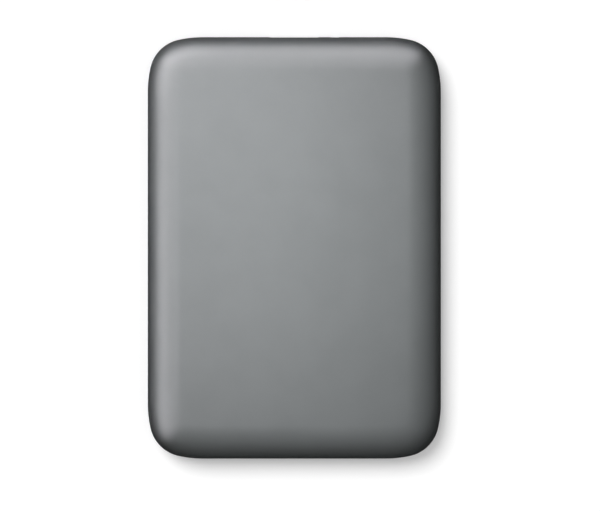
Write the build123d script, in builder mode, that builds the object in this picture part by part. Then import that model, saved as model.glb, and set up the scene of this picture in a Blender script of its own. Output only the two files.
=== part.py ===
from build123d import *
import os
from math import acos, atan2, cos, degrees, radians, sin, sqrt

# Slim portable hard drive: a two-piece plastic enclosure round a 2.5 inch disk drive and its port board.
# Millimetres. X is the width, +Y the port end, +Z the top, and the underside lies on Z = 0.

# Enclosure: both covers, seen from outside
wall = 1.5
corner_reach = 15.0
corner_radius = 10.0
corner_ease_angle = 12.8
roof_corner_radius = 0.3
seam_height = 4.4
seam_land = 0.7
seam_chamfer = 0.25

# Enclosure: room left round the drive
drive_side_gap = 3.575
drive_front_gap = 4.0
bridge_bay = 7.65
drive_floor_gap = 1.0
drive_roof_gap = 3.8

# Enclosure: lip, snaps, ribs and bumpers
lip_thickness = 0.7
lip_height = 1.6
lip_clearance = 0.1
snap_length = 8.0
snap_depth = 0.3
snap_height = 0.5
snap_pitch = 28.0
rib_thickness = 1.0
top_rib_depth = 1.4
floor_rib_height = 0.6
rib_pitch = 16.0
bumper_gap = 0.15
bumper_cap = 0.8
bumper_grip = 9.0
bumper_back = 2.0

# General clearances
fit_gap = 0.02
running_gap = 0.05
slip_gap = 0.12

# Drive: outside
drive_width = 69.85
drive_corner_radius = 3.0
mount_hole_radius = 1.25
mount_hole_depth = 2.0
side_hole_depth = 1.3
side_hole_height = 3.0
mount_hole_spread = 61.72
rear_hole_setback = 14.0
hole_pitch = 76.6

# Drive: heights from its underside up
board_recess = 0.55
board_thickness = 0.7
board_part_room = 0.75
floor_thickness = 0.7
disk_floor_gap = 1.45
disk_thickness = 0.635
lid_clearance = 0.165
lid_thickness = 0.6
gasket_height = 0.3

# Drive: walls in plan
casting_side_wall = 1.725
casting_front_wall = 1.6
disk_side_gap = 0.7
chamber_corner = 2.0
chamber_behind_pivot = 8.0
well_ledge = 8.0
bay_beside_pivot = 8.5
notch_wall = 1.9
sata_notch_depth = 5.6
gasket_inset = 0.55
gasket_width = 0.7
underside_pocket_depth = 1.2
underside_pocket_inner = 16.0
underside_pocket_outer = 29.0
underside_pocket_angle = 150.0

# Drive lid and its screws
lid_inset = 0.4
lid_emboss_depth = 0.15
lid_ring_inner = 21.0
lid_ring_outer = 24.0
lid_post_radius = 2.0
lid_post_bite = 0.4
lid_screw_edge = 3.9
lid_screw_ahead = 6.5
screw_shank_radius = 0.8
screw_head_radius = 1.6
screw_head_height = 0.5
screw_length = 2.6
screw_socket_radius = 0.7
screw_socket_depth = 0.3

# Spindle motor
motor_base = 1.0
stator_seat = 0.7
stator_thickness = 1.0
stator_radius = 10.25
stator_bore = 4.6
stator_ring = 1.5
tooth_count = 9
tooth_width = 1.5
shoe_depth = 0.8
shoe_half_angle = 16.0
winding_overhang = 0.3
winding_width = 3.0
winding_length = 2.4
hub_coil_gap = 0.2
air_gap = 0.25
rotor_magnet_wall = 1.0
skirt_wall = 0.9
skirt_gap = 0.45
seat_width = 0.9
sleeve_radius = 3.48
sleeve_base = 0.5
shaft_radius = 1.5
disk_bore_radius = 10.0
pilot_drop = 0.1

# Disk clamp
clamp_radius = 12.0
clamp_sheet = 0.35
clamp_rise = 0.25
clamp_land = 1.4
clamp_slope = 1.2
clamp_head_radius = 3.0
clamp_head_height = 0.5
clamp_shank_radius = 0.9
clamp_shank_length = 2.2

# Actuator arm
pivot_bore = 3.9
block_wall = 2.6
block_disk_gap = 2.5
arm_shortfall = 6.0
inner_track_gap = 2.2
park_clearance = 2.2
arm_disk_gap = 0.55
arm_floor_gap = 0.3
arm_root_radius = 4.8
arm_tip_radius = 2.2
arm_window_root = 1.6
arm_window_tip = 0.8
arm_window_start = 11.0
beam_length = 12.0
beam_thickness = 0.12
beam_root_half = 1.9
beam_tip_half = 0.55
beam_overlap = 3.0
tab_length = 3.2
tab_half = 0.35
slider_length = 1.2
slider_width = 1.0
fly_gap = 0.15
pivot_shaft_radius = 1.9
pivot_flange_radius = 3.3
pivot_flange_height = 0.2

# Voice-coil motor
coil_bend_angle = 35.0
coil_thickness = 0.9
coil_gap = 0.22
coil_web = 1.4
coil_depth = 7.9
coil_leg = 2.6
coil_half_angle = 21.0
coil_window_angle = 9.0
carrier_rim = 0.8
carrier_half_angle = 24.0
carrier_side_gap = 0.6
magnet_thickness = 0.45
magnet_margin = 0.9
magnet_half_angle = 28.0
yoke_half_angle = 34.0
yoke_block_gap = 0.7
yoke_edge = 0.2
yoke_rear_gap = 0.56
post_gap = 0.4
post_radius = 1.0
post_spread_angle = 22.0
stop_radius = 1.0
stop_circle = 12.0
stop_gap = 0.3
stop_rise = 0.3

# Load ramp
ramp_start = 1.1
ramp_end = 0.3
ramp_flat = 1.2
ramp_overlap = 0.9
ramp_tab_gap = 0.1
ramp_disk_gap = 0.12
ramp_edge_gap = 0.35
ramp_tip_finger = 0.08
ramp_foot_length = 3.4
ramp_screw_radius = 0.6
ramp_head_radius = 1.1
ramp_head_height = 0.35
ramp_screw_bite = 0.45

# Flex and filters
bracket_size = 9.0
bracket_plug = 6.6
bracket_height = 1.6
bracket_corner = 1.2
bracket_board_inset = 4.0
bracket_behind_pivot = 1.5
ribbon_thickness = 0.12
ribbon_height = 2.0
ribbon_lift = 0.6
ribbon_rise = 4.0
ribbon_bend = 2.5
ribbon_bearing_angle = 30.0
filter_thickness = 1.6
filter_length = 6.0
filter_height = 2.6
filter_wall_gap = 0.4
filter_behind_disk = 24.0
breather_radius = 2.6
breather_thickness = 0.8
breather_beside = 11.0
breather_ahead = 10.5

# Drive electronics
board_width = 55.0
board_motor_gap = 2.0
board_rear_gap = 0.6
board_pocket_gap = 0.4
board_screw_inset = 3.0
board_screw_rear = 11.0
board_screw_head_radius = 1.5
board_screw_head_height = 0.45
board_screw_bite = 1.05
board_boss_radius = 2.0
chip_height = 0.6
controller_chip_size = 13.0
controller_chip_place = (4.0, 17.0)
memory_chip_width = 10.0
memory_chip_length = 8.0
memory_chip_place = (-12.0, 17.0)
driver_chip_size = 7.0
driver_chip_place = (-6.0, 6.0)

# Connector between the drive and the bridge board
sata_offset = 3.0
plug_height = 3.2
plug_back = 1.6
plug_gap = 0.2
tongue_length = 3.6
tongue_thickness = 1.2
tongue_key_width = 1.2
tongue_key_depth = 0.5
data_tongue = 10.0
power_tongue = 20.0
tongue_gap = 3.0
receptacle_rim = 1.8
receptacle_relief = 0.15
receptacle_back = 2.5
guide_width = 1.8
notch_relief = 0.3

# Bridge board and port
bridge_thickness = 1.0
bridge_end_gap = 0.5
bridge_edge_gap = 0.3
post_foot_radius = 1.9
peg_radius = 0.9
peg_rise = 0.3
peg_inset = 2.5
peg_ahead = 3.4
port_offset = 0.0
port_recess = 0.6
port_gap = 0.35
port_corner = 0.8
usb_width = 12.9
usb_sheet = 0.3
usb_gap = 0.65
usb_chamfer = 0.8
usb_split = 1.2
usb_split_depth = 0.7
usb_back = 1.8
usb_tongue_thickness = 0.6
usb_tongue_setback = 1.0
usb_tongue_margin = 1.4
bridge_chip_size = 3.4
bridge_chip_height = 0.8
bridge_chip_gap = 2.85
crystal_width = 3.2
crystal_length = 2.5
crystal_height = 0.7
crystal_gap = 1.2
led_beside = 11.0
led_width = 1.6
led_length = 0.8
led_height = 0.6
led_ahead = 1.6
pipe_width = 2.4
pipe_height = 1.0
pipe_leg = 1.2
pipe_lip_gap = 0.15
pipe_led_gap = 0.15

# Heights derived from the stack
drive_low = wall + drive_floor_gap
board_low = drive_low + board_recess
board_top = board_low + board_thickness
floor_low = board_top + board_part_room
floor_top = floor_low + floor_thickness
disk_low = floor_top + disk_floor_gap
disk_top = disk_low + disk_thickness
disk_mid = (disk_low + disk_top) / 2
lid_low = disk_top + disk_floor_gap + lid_clearance
lid_top = lid_low + lid_thickness
rim_top = lid_low - gasket_height
case_height = lid_top + drive_roof_gap + wall

# Actuator derived: where the pivot stands and how far the arm swings
disk_radius = drive_width / 2 - casting_side_wall - disk_side_gap
well_radius = disk_radius + disk_side_gap
chamber_half_width = drive_width / 2 - casting_side_wall
block_radius = pivot_bore + block_wall
coil_inner = block_radius + coil_web
coil_outer = coil_inner + coil_depth
carrier_outer = coil_outer + carrier_rim
post_circle = carrier_outer + post_gap + post_radius
yoke_inner = block_radius + yoke_block_gap
yoke_outer = post_circle + post_radius + yoke_edge
pivot_to_disk = disk_radius + block_disk_gap + block_radius
pivot_across = chamber_half_width - carrier_outer - carrier_side_gap
pivot_along = sqrt(pivot_to_disk**2 - pivot_across**2)
arm_reach = pivot_to_disk - arm_shortfall
arm_length = arm_reach - beam_length
park_radius = disk_radius + park_clearance
inner_track_radius = clamp_radius + inner_track_gap

# Enclosure derived from the drive that it holds
drive_length = (casting_front_wall + well_radius + pivot_along + yoke_outer + yoke_rear_gap
                + notch_wall + sata_notch_depth)
case_width = drive_width + 2 * (drive_side_gap + wall)
case_length = drive_length + drive_front_gap + bridge_bay + 2 * wall
half_width = case_width / 2
half_length = case_length / 2
top_edge_radius = min(case_height - seam_height - seam_land, corner_radius - roof_corner_radius)
bottom_edge_radius = seam_height - seam_land
drive_front = wall - half_length + drive_front_gap
drive_rear = drive_front + drive_length
drive_middle = (drive_front + drive_rear) / 2

# Plan corner: a tight arc eased into each side by a wider one
ease_step = cos(radians(corner_ease_angle)) - sin(radians(corner_ease_angle))
ease_radius = (corner_reach - corner_radius * ease_step) / (1 - ease_step)
corner_centre = ease_radius - (ease_radius - corner_radius) * cos(radians(corner_ease_angle))

# Plan positions in the drive
disk_x = 0.0
disk_y = drive_front + casting_front_wall + well_radius
pivot_x = disk_x - pivot_across
pivot_y = disk_y + pivot_along
chamber_rear = drive_rear - sata_notch_depth - notch_wall
disk_bearing = degrees(atan2(disk_y - pivot_y, disk_x - pivot_x))


def arm_bearing(track_radius):
    """Direction of the arm in degrees when its heads stand at this radius on the disk."""
    squares = pivot_to_disk**2 + arm_reach**2 - track_radius**2
    return disk_bearing + degrees(acos(squares / (2 * pivot_to_disk * arm_reach)))


park_bearing = arm_bearing(park_radius)
swing = park_bearing - arm_bearing(inner_track_radius)
coil_bearing = park_bearing + 180 - coil_bend_angle
yoke_bearing = coil_bearing - swing / 2

# Levels of the actuator
arm_thickness = disk_floor_gap - arm_disk_gap - arm_floor_gap
lower_arm_top = disk_low - arm_disk_gap
lower_arm_low = lower_arm_top - arm_thickness
upper_arm_low = disk_top + arm_disk_gap
upper_arm_top = upper_arm_low + arm_thickness
slider_height = arm_disk_gap - beam_thickness - fly_gap
coil_low = disk_mid - coil_thickness / 2
coil_top = disk_mid + coil_thickness / 2
lower_magnet_low = coil_low - coil_gap - magnet_thickness
yoke_thickness = lower_magnet_low - floor_top
upper_yoke_low = 2 * disk_mid - floor_top - yoke_thickness
ramp_half = disk_mid - (lower_arm_top + beam_thickness + ramp_tab_gap)

# Levels and radii of the motor
motor_floor = drive_low + motor_base
stator_low = motor_floor + stator_seat
stator_top = stator_low + stator_thickness
hub_web_low = stator_top + winding_overhang + hub_coil_gap
skirt_low = motor_floor + skirt_gap
boss_radius = stator_bore - running_gap
boss_top = stator_top - running_gap
rotor_magnet_inner = stator_radius + air_gap
rotor_magnet_outer = rotor_magnet_inner + rotor_magnet_wall
skirt_radius = rotor_magnet_outer + fit_gap + skirt_wall
motor_recess_radius = skirt_radius + skirt_gap
sleeve_top = stator_top + hub_coil_gap
pilot_radius = disk_bore_radius - running_gap
clamp_top = disk_top + clamp_rise + clamp_sheet

# Bridge and port places
plug_mid = board_top + plug_height / 2
plug_front = drive_rear - sata_notch_depth + plug_gap
tongue_end = plug_front + plug_back + tongue_length
tongue_total = data_tongue + tongue_gap + power_tongue
receptacle_width = tongue_total + 2 * receptacle_rim
plug_width = receptacle_width + 2 * (plug_gap + guide_width)
receptacle_low = board_top + receptacle_relief
receptacle_height = plug_height - 2 * receptacle_relief
receptacle_front = plug_front + plug_back + plug_gap
receptacle_rear = drive_rear + receptacle_back
bridge_top = receptacle_low
bridge_low = bridge_top - bridge_thickness
usb_low = bridge_top
usb_height = receptacle_height
usb_mid = usb_low + usb_height / 2
usb_mouth = half_length - port_recess
usb_depth = usb_mouth - receptacle_rear - usb_gap
port_cut_depth = 2 * wall
pipe_mid = seam_height + lip_height + pipe_lip_gap + pipe_height / 2
board_front = disk_y + motor_recess_radius + board_motor_gap
board_rear = drive_rear - board_rear_gap
bracket_x = board_width / 2 - bracket_board_inset
bracket_y = pivot_y + bracket_behind_pivot


def inset_at(height, shift):
    """How far the enclosure's form, moved in by shift, stands inside its plan outline at this height."""
    top_centre = case_height - top_edge_radius
    if height > top_centre:
        edge, rise = top_edge_radius, height - top_centre
    elif height < bottom_edge_radius:
        edge, rise = bottom_edge_radius, bottom_edge_radius - height
    else:
        edge, rise = top_edge_radius, 0
    return edge - sqrt((edge - shift)**2 - rise**2)


bridge_rear = half_length - inset_at(bridge_low, wall) - bridge_edge_gap
bridge_front = drive_rear + bridge_end_gap
bridge_half_width = half_width - corner_reach - bridge_edge_gap
pipe_face = half_length - inset_at(pipe_mid, 0)
led_x = port_offset + led_beside
led_y = bridge_rear - led_ahead
bridge_part_y = (receptacle_rear + bridge_rear) / 2
bridge_chip_x = port_offset - usb_width / 2 - bridge_chip_gap - bridge_chip_size / 2
crystal_x = bridge_chip_x - bridge_chip_size / 2 - crystal_gap - crystal_width / 2
bumper_low = wall + bumper_gap
bumper_top = lid_top + bumper_cap
bumper_inset = max(inset_at(bumper_low, wall), inset_at(bumper_top, wall)) + bumper_gap

# Repeated places
peg_points = [(side * (bridge_half_width - peg_inset), bridge_rear - peg_ahead) for side in (-1, 1)]
snap_points = [(along * snap_pitch, side) for along in (-1, 0, 1) for side in (-1, 1)]
lid_corner_points = [(x * (drive_width / 2 - lid_screw_edge), y + step * lid_screw_edge)
                     for x in (-1, 1) for y, step in ((drive_front, 1), (drive_rear, -1))]
lid_side_points = [(side * (chamber_half_width + lid_post_bite - lid_post_radius), pivot_y - lid_screw_ahead)
                   for side in (-1, 1)]
lid_post_points = lid_corner_points + lid_side_points
lid_screw_points = lid_post_points + [(pivot_x, pivot_y)]
board_screw_rows = (board_front + board_screw_inset, board_rear - board_screw_rear)
board_screw_points = [(side * (board_width / 2 - board_screw_inset), y)
                      for side in (-1, 1) for y in board_screw_rows]
mount_hole_rows = [drive_rear - rear_hole_setback, drive_rear - rear_hole_setback - hole_pitch]


def case_outline(inset):
    """Plan of the enclosure moved in by inset: straight sides joined by eased corners."""
    across, along = half_width - inset, half_length - inset
    rest = 90 - corner_ease_angle
    with BuildSketch() as plan:
        with BuildLine():
            Line((across, 0), (across, half_length - corner_reach))
            CenterArc((half_width - ease_radius, half_length - corner_reach), ease_radius - inset,
                      0, corner_ease_angle)
            CenterArc((half_width - corner_centre, half_length - corner_centre), corner_radius - inset,
                      corner_ease_angle, rest - corner_ease_angle)
            CenterArc((half_width - corner_reach, half_length - ease_radius), ease_radius - inset,
                      rest, corner_ease_angle)
            Line((half_width - corner_reach, along), (0, along))
            mirror(about=Plane.YZ)
            mirror(about=Plane.XZ)
        make_face()
    return plan.sketch


def case_form(inset):
    """The enclosure's rounded body moved in by inset on every side."""
    with BuildPart() as form:
        with BuildSketch(Plane.XY.offset(inset)):
            add(case_outline(inset))
        extrude(amount=case_height - 2 * inset)
        fillet(form.faces().sort_by(Axis.Z)[-1].edges(), radius=top_edge_radius - inset)
        fillet(form.faces().sort_by(Axis.Z)[0].edges(), radius=bottom_edge_radius - inset)
    return form.part


def drive_outline(grow):
    """Plan of the drive grown by this much."""
    with BuildSketch() as plan:
        with Locations((0, drive_middle)):
            RectangleRounded(drive_width + 2 * grow, drive_length + 2 * grow, drive_corner_radius + grow)
    return plan.sketch


def span_box(left, right, front, rear, corner):
    """Rounded rectangle between two sides and two ends."""
    with BuildSketch() as plan:
        with Locations(((left + right) / 2, (front + rear) / 2)):
            RectangleRounded(right - left, rear - front, corner)
    return plan.sketch


def chamber_outline(grow):
    """Plan of the sealed chamber: the disk well, the room behind it and the bay of the voice-coil motor."""
    side = chamber_half_width + grow
    front = disk_y + well_ledge - grow
    corner = chamber_corner + grow
    room = span_box(-side, side, front, pivot_y + chamber_behind_pivot + grow, corner)
    bay = span_box(-side, pivot_x + bay_beside_pivot + grow, front, chamber_rear + grow, corner)
    with BuildSketch() as plan:
        with Locations((disk_x, disk_y)):
            Circle(well_radius + grow)
        add(room)
        add(bay)
    return plan.sketch


def sector(inner, outer, half_turn, middle=0):
    """Part of a ring about the origin between two radii, half_turn degrees to each side of middle."""
    with BuildSketch() as shape:
        with BuildLine():
            near = CenterArc((0, 0), inner, middle - half_turn, 2 * half_turn)
            far = CenterArc((0, 0), outer, middle - half_turn, 2 * half_turn)
            Line(near @ 0, far @ 0)
            Line(near @ 1, far @ 1)
        make_face()
    return shape.sketch


def disk_plane(height):
    """Level plane on the spindle axis."""
    return Plane((disk_x, disk_y, height))


def pivot_plane(height, bearing):
    """Level plane on the pivot axis with its own x along this bearing."""
    along = (cos(radians(bearing)), sin(radians(bearing)), 0)
    return Plane(origin=(pivot_x, pivot_y, height), x_dir=along, z_dir=(0, 0, 1))


def pivot_point(radius, bearing):
    """Plan point at this radius and bearing from the pivot."""
    return (pivot_x + radius * cos(radians(bearing)), pivot_y + radius * sin(radians(bearing)))


def sata_tongues(grow):
    """End view of the two keyed contact tongues about their middle, grown by this much."""
    half = tongue_total / 2
    thick = tongue_thickness + 2 * grow
    data_middle = (data_tongue - tongue_total) / 2
    power_middle = (tongue_total - power_tongue) / 2
    key_middle = half - tongue_key_width / 2
    with BuildSketch() as shape:
        with Locations((data_middle, 0)):
            Rectangle(data_tongue + 2 * grow, thick)
        with Locations((power_middle, 0)):
            Rectangle(power_tongue + 2 * grow, thick)
        with Locations((-key_middle, -tongue_key_depth / 2), (key_middle, -tongue_key_depth / 2)):
            Rectangle(tongue_key_width + 2 * grow, thick + tongue_key_depth)
    return shape.sketch


def usb_outline(inset):
    """Mouth of the port socket moved in by inset: two bays side by side with bevelled lower corners."""
    side, rise = usb_width / 2, usb_height / 2
    with BuildSketch() as shape:
        with BuildLine():
            Polyline((-side, rise), (side, rise), (side, usb_chamfer - rise), (side - usb_chamfer, -rise),
                     (usb_split + usb_split_depth, -rise), (usb_split, usb_split_depth - rise),
                     (usb_split - usb_split_depth, -rise), (usb_chamfer - side, -rise),
                     (-side, usb_chamfer - rise), close=True)
        make_face()
        if inset:
            offset(amount=-inset, mode=Mode.REPLACE)
    return shape.sketch


def end_plane(along):
    """Upright plane across the enclosure at this length, seen from the port end's inside."""
    return Plane.XZ.offset(-along)


pieces = {}


def finish(name, piece):
    """Label a finished piece and keep it for writing."""
    piece.label = name
    pieces[name] = piece


outer_form = case_form(0)
inner_form = case_form(wall)
snap_side = half_width - wall + lip_thickness
snap_mid = seam_height + lip_height / 2
rib_span = drive_length - 2 * (bumper_grip + wall)

# Top cover: the upper half of the rounded body, hollow, with a rebate for the lip of the bottom cover
with BuildPart() as top_cover:
    add(outer_form)
    split(bisect_by=Plane.XY.offset(seam_height), keep=Keep.TOP)
    chamfer(top_cover.faces().sort_by(Axis.Z)[0].edges(), length=seam_chamfer)
    add(inner_form, mode=Mode.SUBTRACT)
    with BuildSketch(Plane.XY.offset(seam_height)):
        add(case_outline(wall - lip_thickness - lip_clearance))
    extrude(amount=lip_height + lip_clearance, mode=Mode.SUBTRACT)
    # grooves that the snaps click into
    with Locations(*[(side * snap_side, y, snap_mid) for y, side in snap_points]):
        Box(2 * (snap_depth + lip_clearance), snap_length + 2 * lip_clearance,
            snap_height + 2 * lip_clearance, mode=Mode.SUBTRACT)
    # ribs under the roof
    with BuildSketch(Plane.XY.offset(case_height - wall - top_rib_depth)):
        with GridLocations(2 * rib_pitch, 0, 2, 1):
            Rectangle(rib_thickness, rib_span)
        with GridLocations(0, 2 * rib_pitch, 1, 3):
            Rectangle(2 * rib_pitch, rib_thickness)
    extrude(amount=top_rib_depth + wall / 2)
    # port mouth and light pipe slot
    with BuildSketch(end_plane(half_length)):
        with Locations((port_offset, usb_mid)):
            RectangleRounded(usb_width + 2 * port_gap, usb_height + 2 * port_gap, port_corner)
        with Locations((led_x, pipe_mid)):
            Rectangle(pipe_width + 2 * running_gap, pipe_height + 2 * running_gap)
    extrude(amount=port_cut_depth, mode=Mode.SUBTRACT)
finish("top_cover", top_cover.part)

# Bottom cover: the lower half with its lip, snaps, rails for the drive and pegs for the bridge board
with BuildPart() as bottom_cover:
    add(outer_form)
    split(bisect_by=Plane.XY.offset(seam_height), keep=Keep.BOTTOM)
    chamfer(bottom_cover.faces().sort_by(Axis.Z)[-1].edges(), length=seam_chamfer)
    with BuildSketch(Plane.XY.offset(seam_height)):
        add(case_outline(wall - lip_thickness))
    extrude(amount=lip_height)
    add(inner_form, mode=Mode.SUBTRACT)
    with Locations(*[(side * snap_side, y, snap_mid) for y, side in snap_points]):
        Box(2 * snap_depth, snap_length, snap_height)
    with BuildSketch(Plane.XY.offset(wall / 2)):
        with GridLocations(2 * rib_pitch, 0, 2, 1):
            Rectangle(rib_thickness, rib_span)
        with GridLocations(0, 2 * rib_pitch, 1, 3):
            Rectangle(2 * rib_pitch, rib_thickness)
    extrude(amount=floor_rib_height + wall / 2)
    with BuildSketch(Plane.XY.offset(wall / 2)):
        with Locations(*peg_points):
            Circle(post_foot_radius)
    extrude(amount=bridge_low - wall / 2)
    with BuildSketch(Plane.XY.offset(bridge_low)):
        with Locations(*peg_points):
            Circle(peg_radius)
    extrude(amount=bridge_thickness + peg_rise)
    with BuildSketch(end_plane(half_length)):
        with Locations((port_offset, usb_mid + lip_height)):
            RectangleRounded(usb_width + 2 * port_gap, usb_height + 2 * (port_gap + lip_height), port_corner)
    extrude(amount=port_cut_depth, mode=Mode.SUBTRACT)
finish("bottom_cover", bottom_cover.part)

# Space that the drive takes up between the bumpers
with BuildPart() as drive_space:
    with BuildSketch(Plane.XY.offset(drive_low - bumper_gap)):
        add(drive_outline(bumper_gap))
    extrude(amount=lid_top - drive_low + 2 * bumper_gap)


def corner_bumper(side, front, rear):
    """Rubber block that wraps one corner of the drive and stands clear of the covers."""
    inner = drive_width / 2 - bumper_grip
    with BuildPart() as bumper:
        with BuildSketch(Plane.XY.offset(bumper_low)):
            add(case_outline(bumper_inset))
            with Locations((side * (half_width + inner) / 2, (front + rear) / 2)):
                Rectangle(half_width - inner, rear - front, mode=Mode.INTERSECT)
        extrude(amount=bumper_top - bumper_low)
        add(drive_space.part, mode=Mode.SUBTRACT)
    return bumper.part


for side, hand in ((-1, "left"), (1, "right")):
    finish("bumper_front_" + hand, corner_bumper(side, -half_length, drive_front + bumper_grip))
    finish("bumper_rear_" + hand, corner_bumper(side, drive_rear - bumper_grip, drive_rear + bumper_back))

# Bridge board behind the drive, held by the two pegs
with BuildPart() as bridge_board:
    with BuildSketch(Plane.XY.offset(bridge_low)):
        add(span_box(-bridge_half_width, bridge_half_width, bridge_front, bridge_rear, wall / 2))
        with Locations(*peg_points):
            Circle(peg_radius + running_gap, mode=Mode.SUBTRACT)
    extrude(amount=bridge_thickness)
finish("bridge_board", bridge_board.part)

with BuildPart() as bridge_chip:
    with BuildSketch(Plane.XY.offset(bridge_top)):
        with Locations((bridge_chip_x, bridge_part_y)):
            Rectangle(bridge_chip_size, bridge_chip_size)
    extrude(amount=bridge_chip_height)
finish("bridge_chip", bridge_chip.part)

with BuildPart() as bridge_crystal:
    with BuildSketch(Plane.XY.offset(bridge_top)):
        with Locations((crystal_x, bridge_part_y)):
            RectangleRounded(crystal_width, crystal_length, crystal_height / 2)
    extrude(amount=crystal_height)
finish("bridge_crystal", bridge_crystal.part)

# Receptacle that the drive's plug pushes into
with BuildPart() as sata_receptacle:
    with BuildSketch(end_plane(receptacle_front)):
        with Locations((sata_offset, plug_mid)):
            Rectangle(receptacle_width, receptacle_height)
    extrude(amount=receptacle_front - receptacle_rear)
    with BuildSketch(end_plane(receptacle_front)):
        with Locations((sata_offset, plug_mid)):
            add(sata_tongues(slip_gap))
    extrude(amount=receptacle_front - tongue_end - plug_gap, mode=Mode.SUBTRACT)
finish("sata_receptacle", sata_receptacle.part)

# Port socket: a folded steel mouth round a plastic insert with two contact tongues
with BuildPart() as usb_shell:
    with BuildSketch(end_plane(usb_mouth)):
        with Locations((port_offset, usb_mid)):
            add(usb_outline(0))
            add(usb_outline(usb_sheet), mode=Mode.SUBTRACT)
    extrude(amount=usb_depth)
finish("usb_shell", usb_shell.part)

usb_inner_side = usb_width / 2 - usb_sheet
wide_tongue = usb_inner_side + usb_split - usb_split_depth - usb_tongue_margin
slim_tongue = usb_inner_side - usb_split - usb_split_depth - usb_tongue_margin
with BuildPart() as usb_insert:
    with BuildSketch(end_plane(usb_mouth - usb_depth + usb_back)):
        with Locations((port_offset, usb_mid)):
            add(usb_outline(usb_sheet + fit_gap))
    extrude(amount=usb_back)
    with BuildSketch(end_plane(usb_mouth - usb_tongue_setback)):
        with Locations((port_offset, usb_mid)):
            with Locations(((usb_split - usb_split_depth - usb_inner_side) / 2, 0)):
                Rectangle(wide_tongue, usb_tongue_thickness)
            with Locations(((usb_split + usb_split_depth + usb_inner_side) / 2, 0)):
                Rectangle(slim_tongue, usb_tongue_thickness)
    extrude(amount=usb_depth - usb_tongue_setback - usb_back / 2)
finish("usb_insert", usb_insert.part)

with BuildPart() as activity_led:
    with BuildSketch(Plane.XY.offset(bridge_top)):
        with Locations((led_x, led_y)):
            Rectangle(led_width, led_length)
    extrude(amount=led_height)
finish("activity_led", activity_led.part)

# Light pipe: stands over the light and turns out through the top cover
with BuildPart() as light_pipe:
    with BuildSketch(Plane.YZ.offset(led_x - pipe_width / 2)):
        with BuildLine():
            foot = bridge_top + led_height + pipe_led_gap
            low, high = pipe_mid - pipe_height / 2, pipe_mid + pipe_height / 2
            Polyline((led_y - pipe_leg / 2, foot), (led_y + pipe_leg / 2, foot), (led_y + pipe_leg / 2, low),
                     (pipe_face, low), (pipe_face, high), (led_y - pipe_leg / 2, high), close=True)
        make_face()
    extrude(amount=pipe_width)
finish("light_pipe", light_pipe.part)

# Load ramp: a slim profile across the disk's edge with a foot on the chamber floor
ramp_inner = arm_reach + ramp_start
ramp_width = tab_length + ramp_end - ramp_start
ramp_middle = ramp_inner + ramp_width / 2
ramp_run = radians(park_bearing - arm_bearing(disk_radius - ramp_overlap)) * ramp_middle
ramp_tip_half = disk_thickness / 2 + ramp_disk_gap + ramp_tip_finger
ramp_out = (cos(radians(park_bearing)), sin(radians(park_bearing)), 0)
ramp_across = (-ramp_out[1], ramp_out[0], 0)
ramp_foot_middle = ramp_flat + ramp_foot_length / 2
ramp_screw_point = tuple(base + ramp_middle * out + ramp_foot_middle * across
                         for base, out, across in zip((pivot_x, pivot_y), ramp_out, ramp_across))
with BuildPart() as load_ramp:
    start = (*pivot_point(ramp_inner, park_bearing), disk_mid)
    with BuildSketch(Plane(origin=start, x_dir=ramp_across, z_dir=ramp_out)):
        with BuildLine():
            Polyline((-ramp_run, -ramp_tip_half), (-ramp_flat, -ramp_half), (ramp_flat, -ramp_half),
                     (ramp_flat, floor_top - disk_mid), (ramp_flat + ramp_foot_length, floor_top - disk_mid),
                     (ramp_flat + ramp_foot_length, ramp_half), (-ramp_flat, ramp_half),
                     (-ramp_run, ramp_tip_half), close=True)
        make_face()
    extrude(amount=ramp_width)
    with BuildSketch(disk_plane(disk_low - ramp_disk_gap)):
        Circle(disk_radius + ramp_edge_gap)
    extrude(amount=disk_thickness + 2 * ramp_disk_gap, mode=Mode.SUBTRACT)
    with BuildSketch(Plane.XY.offset(floor_top)):
        with Locations(ramp_screw_point):
            Circle(ramp_screw_radius + running_gap)
    extrude(amount=disk_mid + ramp_half - floor_top, mode=Mode.SUBTRACT)
finish("load_ramp", load_ramp.part)

with BuildPart() as ramp_screw:
    with BuildSketch(Plane.XY.offset(floor_top - ramp_screw_bite)):
        with Locations(ramp_screw_point):
            Circle(ramp_screw_radius)
    extrude(amount=disk_mid + ramp_half + ramp_screw_bite - floor_top)
    with BuildSketch(Plane.XY.offset(disk_mid + ramp_half)):
        with Locations(ramp_screw_point):
            Circle(ramp_head_radius)
    extrude(amount=ramp_head_height)
finish("ramp_screw", ramp_screw.part)

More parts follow.
